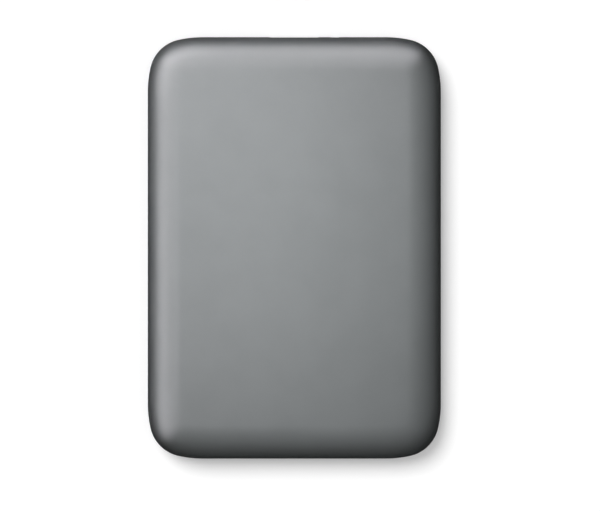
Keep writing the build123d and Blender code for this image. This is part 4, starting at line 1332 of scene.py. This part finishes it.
@dataclass(frozen=True)
class ContactRow:
    """Contacts side by side on the two tongues of a connector.

    Attributes:
        name: Name of the piece.
        node: CAD node that carries the contacts.
        tongues: Middle of each tongue from the node's middle, number of its contacts and their pitch.
        thickness: Thickness of the tongues.
        length: Length of the tongues, whose tips are the node's far end.
        bare: Bare plastic at a tongue's tip.
        contact: Width and height of a contact.
        sunk: Share of a contact's height that lies in the plastic.
    """

    name: str
    node: str
    tongues: tuple[tuple[float, int, float], ...]
    thickness: float
    length: float
    bare: float
    contact: Pair
    sunk: float

    def solid(self) -> Solid:
        """Work out all the contacts: on each tongue they lie a pitch apart and evenly about its middle.

        Returns:
            The closed contacts.
        """
        middle, tip = node_middle(self.node), node_box(self.node)[1][1]
        width, tall = self.contact
        size = (width, self.length - self.bare, tall)
        height = middle[2] + self.thickness / 2 + (0.5 - self.sunk) * tall
        across = [middle[0] + tongue + (place - (count - 1) / 2) * pitch
                  for tongue, count, pitch in self.tongues for place in range(count)]
        return merged(contact_strip((x, tip - self.length, height), size) for x in across)

    def build(self, wardrobe: Wardrobe) -> None:
        """Make the contacts and plate them with gold."""
        contacts = mount(mesh_object(self.name, self.solid()), Body.HOUSING, "copper_wire")
        wardrobe.dress(contacts, Coat.GOLD_PLATE)


@dataclass
class PortBridge:
    """Board behind the drive with its port socket, connector, light and light pipe.

    Attributes:
        contacts: Contacts of the port socket.
    """

    contacts: ContactRow = ContactRow(
        "usb_contacts", "usb_insert", tongues=((-2.825, 5, 0.65), (4.025, 5, 0.5)), thickness=0.6, length=2.6,
        bare=0.35, contact=(0.26, 0.12), sunk=0.4)

    def build(self, wardrobe: Wardrobe) -> None:
        """Add the port's contacts, and dress the board and what stands on it.

        Args:
            wardrobe: Where the coats come from.
        """
        self.contacts.build(wardrobe)
        wardrobe.dress_nodes(Coat.GREEN_BOARD, "bridge_board")
        wardrobe.dress_nodes(Coat.CHIP_BLACK, "bridge_chip")
        wardrobe.dress_nodes(Coat.BRIGHT_STEEL, "usb_shell", "bridge_crystal")
        wardrobe.dress_nodes(Coat.BLACK_PLASTIC, "usb_insert", "sata_receptacle")
        wardrobe.dress_nodes(Coat.FROSTED_CLEAR, "light_pipe", "activity_led")


@dataclass
class DriveHousing:
    """Cast base of the drive with its lid, gasket, screws and filters."""

    def build(self, wardrobe: Wardrobe) -> None:
        """Dress the housing's pieces.

        Args:
            wardrobe: Where the coats come from.
        """
        wardrobe.dress_nodes(Coat.CAST_ALUMINIUM, "base_casting")
        wardrobe.dress_nodes(Coat.BRIGHT_STEEL, "drive_lid")
        wardrobe.dress_nodes(Coat.PLAIN_STEEL, "lid_screws")
        wardrobe.dress_nodes(Coat.BLACK_RUBBER, "lid_gasket")
        wardrobe.dress_nodes(Coat.FILTER_FELT, "recirculation_filter", "breather_filter")


@dataclass
class DriveBoard:
    """Controller board under the drive with its chips, plug and screws.

    Attributes:
        contacts: Contacts of the drive's plug.
    """

    contacts: ContactRow = ContactRow(
        "sata_contacts", "sata_plug", tongues=((-11.0, 7, 1.27), (6.0, 15, 1.27)), thickness=1.2, length=3.6,
        bare=0.4, contact=(0.75, 0.12), sunk=0.5)

    def build(self, wardrobe: Wardrobe) -> None:
        """Add the plug's contacts, and dress the board and its parts.

        Args:
            wardrobe: Where the coats come from.
        """
        self.contacts.build(wardrobe)
        wardrobe.dress_nodes(Coat.GREEN_BOARD, "controller_board")
        wardrobe.dress_nodes(Coat.CHIP_BLACK, "controller_chip", "memory_chip", "motor_driver_chip")
        wardrobe.dress_nodes(Coat.BLACK_PLASTIC, "sata_plug")
        wardrobe.dress_nodes(Coat.PLAIN_STEEL, "board_screws")


@dataclass
class SpindleMotor:
    """Motor in the middle of the base and the disk stack that it turns.

    Attributes:
        teeth: Number of wound teeth.
        winding_radius: Distance of a winding's middle from the axis.
        winding: Length along the tooth, width and height of a winding.
        opening: Width and height of the opening that the tooth fills.
        winding_corner: Corner radius of a winding.
        opening_corner: Corner radius of its opening.
        loop_points: Chords of a corner and points along a side of the loop that a wire runs round.
        wires: Wires side by side along a tooth.
        groove: Share of the winding's thickness that the grooves between wires take.
    """

    teeth: int = 9
    winding_radius: float = 7.775
    winding: Triple = (2.4, 3.0, 1.6)
    opening: Pair = (1.6, 1.1)
    winding_corner: float = 0.3
    opening_corner: float = 0.1
    loop_points: tuple[int, int] = (4, 2)
    wires: int = 8
    groove: float = 0.2

    def tooth_winding(self, bearing: float) -> Solid:
        """Winding round one tooth: a row of wires carried round a rounded loop in the plane across the tooth.

        A point is the opening's loop plus a share of the way to the outer loop, and lies along the tooth by its
        place in the row. The share is 1 on the crowns of the wires, less in the grooves and 0 on the inner face.

        Args:
            bearing: Direction of the tooth in radians.

        Returns:
            The closed winding.
        """
        length, width, tall = self.winding
        row = wire_row(self.wires)
        along = np.concatenate([row[:, 0] - 0.5, [0.5, -0.5]]) * length + self.winding_radius
        share = np.concatenate([1 - self.groove * row[:, 1], [0, 0]])
        inner = rounded_plan(*self.opening, self.opening_corner, *self.loop_points)
        outer = rounded_plan(width, tall, self.winding_corner, *self.loop_points)
        across = inner[:, None] + share[None, :, None] * (outer - inner)[:, None]
        x = along * math.cos(bearing) - across[..., 0] * math.sin(bearing)
        y = along * math.sin(bearing) + across[..., 0] * math.cos(bearing)
        middle = np.array([*SPINDLE[:2], node_middle("stator_coils")[2]])
        return looped(np.stack([x, y, across[..., 1]], -1) + middle)

    def build(self, wardrobe: Wardrobe) -> None:
        """Wind the teeth, and dress the motor and the disk stack.

        Args:
            wardrobe: Where the coats come from.
        """
        bearings = 2 * math.pi * np.arange(self.teeth) / self.teeth
        windings = merged(self.tooth_winding(float(bearing)) for bearing in bearings)
        coils = mount(mesh_object("stator_windings", windings), Body.HOUSING, "copper_wire", "stator_coils")
        wardrobe.dress(coils, Coat.COPPER_WIRE)
        wardrobe.dress_nodes(Coat.PLAIN_STEEL, "bearing_sleeve", "stator_core", "clamp_screw")
        wardrobe.dress_nodes(Coat.TURNED_ALUMINIUM, "motor_hub", "disk_clamp")
        wardrobe.dress_nodes(Coat.NICKEL_PLATE, "rotor_magnet")
        wardrobe.dress_nodes(Coat.PLATTER_MIRROR, "platter")


@dataclass
class HeadActuator:
    """Arm with its heads and coil, the magnets round the coil, the ramp and the flex.

    Attributes:
        coil_bearing: Direction of the coil's middle from the pivot at rest, in degrees.
        coil_radii: Inner and outer radius of the coil about the pivot.
        coil_half_turn: Half the angle that the coil spans, in degrees.
        coil_leg: Width of the coil's winding along its two arcs.
        window_half_turn: Half the angle of the window, in degrees.
        coil_corner: Corner radius of the coil.
        window_corner: Corner radius of the window.
        loop_points: Chords of a corner and points along a side of the loop that a wire runs round.
        coil_wires: Wires side by side from the window to the outside.
        groove: Depth of the grooves between wires.
        ribbon_bearing: Direction from the pivot at which the ribbon meets the arm, in degrees.
        ribbon_reach: Distance from the pivot to that end.
        ribbon_rise: How far the ribbon runs to the rear of its end.
        ribbon_bend: Radius of its bends.
        ribbon_points: Points along it.
        ribbon_thickness: Thickness of the film.
        bracket_gap: Air between the ribbon and its bracket.
        ribbon_still: Share of the ribbon's width in X, from the bracket, that stays still. Not used.
    """

    coil_bearing: float = 130.5516
    coil_radii: Pair = (7.9, 15.8)
    coil_half_turn: float = 21.0
    coil_leg: float = 2.6
    window_half_turn: float = 9.0
    coil_corner: float = 1.4
    window_corner: float = 0.5
    loop_points: tuple[int, int] = (6, 8)
    coil_wires: int = 11
    groove: float = 0.08
    ribbon_bearing: float = 30.0
    ribbon_reach: float = 6.62
    ribbon_rise: float = 4.0
    ribbon_bend: float = 2.5
    ribbon_points: int = 120
    ribbon_thickness: float = 0.12
    bracket_gap: float = 0.02
    ribbon_still: float = 0.3

    def coil_winding(self) -> Solid:
        """Flat coil: rows of wires on both faces carried round a rounded loop that is bent about the pivot.

        A point is the window's loop plus its place in the row times the way to the outer loop. Its first value is
        added to the middle radius, its second divided by that radius is the turn from the coil's bearing, and its
        height is the face less the groove.

        Returns:
            The closed coil.
        """
        low, high = node_heights("voice_coil")
        inner_radius, outer_radius = self.coil_radii
        radius = (inner_radius + outer_radius) / 2
        depth = outer_radius - inner_radius
        spans = [2 * math.radians(half_turn) * radius for half_turn in (self.coil_half_turn, self.window_half_turn)]
        outer = rounded_plan(depth, spans[0], self.coil_corner, *self.loop_points)
        inner = rounded_plan(depth - 2 * self.coil_leg, spans[1], self.window_corner, *self.loop_points)
        row = wire_row(self.coil_wires)
        share = np.concatenate([row[:, 0], row[::-1, 0]])
        height = np.concatenate([high - self.groove * row[:, 1], low + self.groove * row[::-1, 1]])
        loop = inner[:, None] + share[None, :, None] * (outer - inner)[:, None]
        turn = math.radians(self.coil_bearing) + loop[..., 1] / radius
        reach = radius + loop[..., 0]
        pivot = node_middle("pivot_shaft")
        x, y = pivot[0] + reach * np.cos(turn), pivot[1] + reach * np.sin(turn)
        return looped(np.stack([x, y, np.broadcast_to(height, x.shape)], -1))

    def ribbon_path(self) -> np.ndarray:
        """Plan of the flex ribbon from its bracket to the arm: level, slanting back, level again and down.

        Returns:
            Points of the path, two values to a row.
        """
        bracket_low = node_box("flex_bracket")[0]
        bearing = math.radians(self.ribbon_bearing)
        facing = np.array([math.cos(bearing), math.sin(bearing)])
        start = np.array([bracket_low[0] - self.bracket_gap, node_middle("flex_bracket")[1]])
        end = node_middle("pivot_shaft")[:2] + self.ribbon_reach * facing
        third = (start[0] - end[0]) / 3
        level = end[1] + self.ribbon_rise
        corners = [start, (start[0] - third, start[1]), (end[0] + third, level), (end[0] + self.ribbon_bend, level),
                   end]
        return rounded_path(np.array(corners), self.ribbon_bend, self.ribbon_points)

    def ribbon(self, path: np.ndarray) -> Solid:
        """Upright film: a thin rounded section carried along the path, its first value along the path's normal.

        Args:
            path: Plan of the ribbon, two values to a row.

        Returns:
            The closed ribbon.
        """
        low, high = node_heights("flex_ribbon")
        section = thin_section(self.ribbon_thickness, high - low)
        ahead = np.gradient(path, axis=0)
        ahead /= np.linalg.norm(ahead, axis=1)[:, None]
        normal = np.stack([-ahead[:, 1], ahead[:, 0]], -1)
        level = path[:, None] + section[None, :, :1] * normal[:, None]
        height = np.broadcast_to((low + high) / 2 + section[:, 1:], (*level.shape[:2], 1))
        return swept(np.concatenate([level, height], -1))

    def lay_ribbon(self, wardrobe: Wardrobe) -> None:
        """Lay the flex ribbon along its bent path from the bracket to the arm.

        Args:
            wardrobe: Where the coats come from.
        """
        path = self.ribbon_path()
        ribbon = mesh_object("flex_ribbon_film", self.ribbon(path))
        smooth(ribbon)
        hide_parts("flex_ribbon")
        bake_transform(ribbon)
        wardrobe.dress(ribbon, Coat.FLEX_FILM)

    def build(self, wardrobe: Wardrobe) -> None:
        """Lay the ribbon, wind the coil and dress the actuator's pieces.

        Args:
            wardrobe: Where the coats come from.
        """
        self.lay_ribbon(wardrobe)
        coil = mount(mesh_object("voice_coil_winding", self.coil_winding()), Body.ACTUATOR, "copper_wire",
                     "voice_coil")
        wardrobe.dress(coil, Coat.COPPER_WIRE)
        wardrobe.dress_nodes(Coat.PLAIN_STEEL, "pivot_shaft", "pivot_sleeve", "lower_yoke", "upper_yoke",
                             "yoke_posts", "ramp_screw")
        wardrobe.dress_nodes(Coat.BRIGHT_STEEL, "head_suspensions")
        wardrobe.dress_nodes(Coat.MILLED_ALUMINIUM, "arm_block")
        wardrobe.dress_nodes(Coat.NICKEL_PLATE, "lower_magnet", "upper_magnet")
        wardrobe.dress_nodes(Coat.CREAM_PLASTIC, "coil_carrier", "load_ramp")
        wardrobe.dress_nodes(Coat.SLIDER_CERAMIC, "head_sliders")
        wardrobe.dress_nodes(Coat.BLACK_PLASTIC, "flex_bracket")
        wardrobe.dress_nodes(Coat.BLACK_RUBBER, "crash_stops")


@dataclass(frozen=True)
class Softbox:
    """Even rectangular lamp that the camera does not see.

    Attributes:
        name: Name of the lamp.
        place: Middle of the lamp in millimetres.
        target: Point that it faces in millimetres.
        size: Width and length in millimetres.
        level: Radiance of its face.
        gloss_only: True if it shows only as a reflection.
        color: Tint of its light.
    """

    name: str
    place: Triple
    target: Triple
    size: Pair
    level: float
    gloss_only: bool = False
    color: Color = (1.0, 1.0, 1.0)

    def hang(self) -> bpy.types.Object:
        """Make the lamp.

        Returns:
            The lamp's object.
        """
        lamp = bpy.data.lights.new(self.name, "AREA")
        lamp.color = self.color
        lamp.shape = "RECTANGLE"
        lamp.size, lamp.size_y = self.size[0] * MM, self.size[1] * MM
        lamp.energy = self.level * math.pi * lamp.size * lamp.size_y
        made = bpy.data.objects.new(self.name, lamp)
        made.location = Vector(self.place) * MM
        made.rotation_euler = (Vector(self.target) - Vector(self.place)).to_track_quat("-Z", "Y").to_euler()
        made.visible_camera = False
        made.visible_diffuse = not self.gloss_only
        bpy.context.scene.collection.objects.link(made)
        return made


@dataclass(frozen=True)
class SoftWall:
    """Row of upright softboxes past the drive's left side, round its corner and along its port end.

    They show only as reflections in the paint.

    Attributes:
        half_width: Half the drive's width.
        half_length: Half the drive's length.
        reach: Length of side that the drive's corner takes.
        away: Distance from the drive.
        overrun: How far the straight softboxes reach past the drive's far ends.
        heights: Heights where the tiers start and end, from the lowest on.
        shares: Share of the full level in each tier.
        left_level: Radiance along the left side.
        corner_levels: Radiance of the softboxes round the corner, from the left on.
        end_level: Radiance along the port end.
        color: Tint of their light, a little warm.
    """

    half_width: float = 40.0
    half_length: float = 57.5
    reach: float = 15.0
    away: float = 14.0
    overrun: float = 11.0
    heights: tuple[float, ...] = (11.6, 30.0, 70.0, 187.0)
    shares: tuple[float, ...] = (1.17, 0.64, 1.0)
    left_level: float = 20.0
    corner_levels: tuple[float, ...] = (28.0, 35.0, 29.0)
    end_level: float = 22.5
    color: Color = (1.04, 0.96, 0.985)

    def panel(self, name: str, x: float, y: float, bearing: float, width: float, level: float) -> list[Softbox]:
        """One upright panel of tiers.

        Args:
            name: Start of the lamps' names.
            x: X of the panel's middle.
            y: Y of the panel's middle.
            bearing: Direction in radians from the drive to the panel, which faces back along it.
            width: Width of the panel.
            level: Full radiance.

        Returns:
            The softboxes from the lowest tier on.
        """
        boxes = []
        for tier, (low, high) in enumerate(zip(self.heights, self.heights[1:])):
            middle = (low + high) / 2
            target = (x - math.cos(bearing), y - math.sin(bearing), middle)
            boxes.append(Softbox(f"{name}_{tier}", (x, y, middle), target, (width, high - low),
                                 level * self.shares[tier], True, self.color))
        return boxes

    def softboxes(self) -> list[Softbox]:
        """All the softboxes: the left side, the port end and round the corner between them.

        Returns:
            The softboxes.
        """
        past = (self.reach + self.overrun) / 2
        left = self.panel("left_wall", -self.half_width - self.away, -past, math.pi,
                          2 * (self.half_length - self.reach + past), self.left_level)
        end = self.panel("end_wall", past, self.half_length + self.away, math.pi / 2,
                         2 * (self.half_width - self.reach + past), self.end_level)
        radius = self.reach + self.away
        share = math.pi / 2 / len(self.corner_levels)
        boxes = left + end
        for place, level in enumerate(self.corner_levels):
            bearing = math.pi - (place + 0.5) * share
            x = self.reach - self.half_width + radius * math.cos(bearing)
            y = self.half_length - self.reach + radius * math.sin(bearing)
            width = 2 * radius * math.tan(share / 2)
            boxes += self.panel(f"corner_wall_{place}", x, y, bearing, width, level)
        return boxes


@dataclass(frozen=True)
class TableLight:
    """Far light that falls on the table alone and leaves the drive's shadow there.

    Attributes:
        name: Name of the lamp.
        slant: Direction that it comes from, as X and Y over Z.
        width: Angle in degrees that it covers.
        level: Its level on the table, where 1 would just make paper white.
    """

    name: str
    slant: Pair
    width: float
    level: float

    def hang(self) -> bpy.types.Object:
        """Make the lamp.

        Returns:
            The lamp's object.
        """
        lamp = bpy.data.lights.new(self.name, "SUN")
        lamp.angle = math.radians(self.width)
        upward = Vector((*self.slant, 1)).normalized()
        lamp.energy = self.level * math.pi / upward.z
        made = bpy.data.objects.new(self.name, lamp)
        made.rotation_euler = (-upward).to_track_quat("-Z", "Y").to_euler()
        bpy.context.scene.collection.objects.link(made)
        return made


@dataclass
class Studio:
    """White table, softboxes and a camera that looks straight down.

    Attributes:
        field_width: Width that the picture covers at the covers' widest height.
        widest: That height.
        aim: Point on the table under the middle of the picture.
        lens: Focal length of the camera.
        sensor: Width of the camera's sensor.
        clip: Nearest and farthest distance that the camera sees.
        table_reach: Half the size of the table.
        table_drop: Depth of the table under the drive.
        table_squares: Squares along a side of the table.
        overhead: Softboxes that light the drive from above.
        wall: Softboxes at the left and at the port end that the paint mirrors.
        below: Softbox that lights the underside through the table.
        table_lights: Slanting light that casts the shadow, and broad light that leaves a faint shade all round.
        table_own: Share of the table's white that does not depend on the lamps.
        bounce: How light the table is for light that bounces off it.
        fill: Strength of the light from all round.
    """

    field_width: float = 163.86
    widest: float = 5.0
    aim: Pair = (1.55, -2.08)
    lens: float = 150.0
    sensor: float = 36.0
    clip: Pair = (10.0, 20000.0)
    table_reach: float = 4000.0
    table_drop: float = 0.02
    table_squares: int = 8
    overhead: tuple[Softbox, ...] = (
        Softbox("overhead_softbox", (-5, 6, 104), (-5, 6, 0), (84, 134), 2.05),
        Softbox("corner_softbox", (-33, 48, 115), (0, 0, 15), (29, 29), 13.5),
    )
    wall: SoftWall = SoftWall()
    below: Softbox = Softbox("under_softbox", (0, 0, -160), (0, 0, 0), (200, 200), 1.2)
    table_lights: tuple[TableLight, ...] = (
        TableLight("table_light", (-0.37, 0.46), 33.0, 0.61),
        TableLight("table_sky", (0, 0), 127.0, 0.5),
    )
    table_own: float = 0.19
    bounce: float = 0.03
    fill: float = 0.01

    def table(self) -> bpy.types.Object:
        """Lay a wide flat table just under the drive: a grid of two parameters, one along X and one along Y.

        Returns:
            The table's object.
        """
        squares, row = self.table_squares, self.table_squares + 1
        side = np.linspace(-self.table_reach, self.table_reach, row)
        across, along = np.meshgrid(side, side)
        points = np.stack([across, along, np.full_like(across, -self.table_drop)], -1).reshape(-1, 3)
        place = (np.arange(squares)[:, None] * row + np.arange(squares)[None]).ravel()
        faces = np.stack([place, place + 1, place + row + 1, place + row], -1)
        table = mesh_object("studio_table", Solid(points, [faces]))
        table.data.materials.append(self.table_paper())
        return table

    def seen(self, graph: Graph) -> Socket:
        """Value that is 1 for rays that show the background: from the camera, or through gloss or glass.

        Args:
            graph: Graph that gets the nodes.

        Returns:
            The value socket.
        """
        path = graph.add("LightPath").outputs
        both = graph.add("Math", {0: path["Is Camera Ray"], 1: path["Is Glossy Ray"]}, operation="MAXIMUM")
        every = graph.add("Math", {0: both.outputs[0], 1: path["Is Transmission Ray"]}, operation="MAXIMUM")
        return every.outputs[0]

    def table_paper(self) -> bpy.types.Material:
        """White paper that keeps the drive's shadow, is dim for bounced light and clear from below.

        Returns:
            The material.
        """
        graph = Graph(bpy.data.materials.new("table_paper"))
        lit = 1 - self.table_own
        glow = graph.add("Emission", {"Color": (1, 1, 1, 1), "Strength": self.table_own})
        paper = graph.add("BsdfDiffuse", {"Color": (lit, lit, lit, 1)})
        white = graph.add("AddShader", {0: glow.outputs[0], 1: paper.outputs[0]})
        dim = graph.add("BsdfDiffuse", {"Color": (self.bounce, self.bounce, self.bounce, 1)})
        shown = graph.add("MixShader", {0: self.seen(graph), 1: dim.outputs[0], 2: white.outputs[0]})
        under = graph.add("NewGeometry").outputs["Backfacing"]
        clear = graph.add("BsdfTransparent")
        both = graph.add("MixShader", {0: under, 1: shown.outputs[0], 2: clear.outputs[0]})
        graph.add("OutputMaterial", {"Surface": both.outputs[0]})
        return graph.owner

    def lamps(self, table: bpy.types.Object) -> None:
        """Hang the softboxes for the drive and the lights for the table.

        Args:
            table: The table, which the softboxes leave out.
        """
        on_table = bpy.data.collections.new("lit_table")
        on_table.objects.link(table)
        for light in self.table_lights:
            light.hang().light_linking.receiver_collection = on_table
        off_table = bpy.data.collections.new("lit_drive")
        off_table.objects.link(table)
        off_table.collection_objects[0].light_linking.link_state = "EXCLUDE"
        for softbox in (*self.overhead, *self.wall.softboxes(), self.below):
            softbox.hang().light_linking.receiver_collection = off_table
        bpy.data.objects[self.below.name].light_linking.blocker_collection = off_table

    def surround(self) -> None:
        """Make the world white where it is seen and dim as a light."""
        graph = Graph(bpy.data.worlds.new("studio_white"))
        level = graph.span(self.seen(graph), (0.0, 1.0), (self.fill, 1.0))
        background = graph.add("Background", {"Strength": level})
        graph.add("OutputWorld", {"Surface": background.outputs[0]})
        bpy.context.scene.world = graph.owner

    def camera(self) -> None:
        """Look straight down on the drive through a long lens."""
        data = bpy.data.cameras.new("studio_camera")
        data.lens, data.sensor_width = self.lens, self.sensor
        data.clip_start, data.clip_end = self.clip[0] * MM, self.clip[1] * MM
        made = bpy.data.objects.new("studio_camera", data)
        distance = self.field_width * self.lens / self.sensor
        made.location = Vector((*self.aim, self.widest + distance)) * MM
        bpy.context.scene.collection.objects.link(made)
        bpy.context.scene.camera = made

    def build(self) -> None:
        """Set up the table, the lamps, the world and the camera."""
        bpy.context.scene.view_settings.view_transform = "Standard"
        self.lamps(self.table())
        self.surround()
        self.camera()
        log.info("studio is set up")


def main() -> None:
    """Build and dress the drive from the outside in, then set up the studio."""
    logging.basicConfig(level=logging.INFO, format="%(name)s: %(message)s")
    wardrobe = Wardrobe()
    for assembly in (Enclosure(), PortBridge(), DriveHousing(), DriveBoard(), SpindleMotor(), HeadActuator()):
        assembly.build(wardrobe)
        log.info("%s is built", type(assembly).__name__)
    Studio().build()


if __name__ == "__main__":
    main()
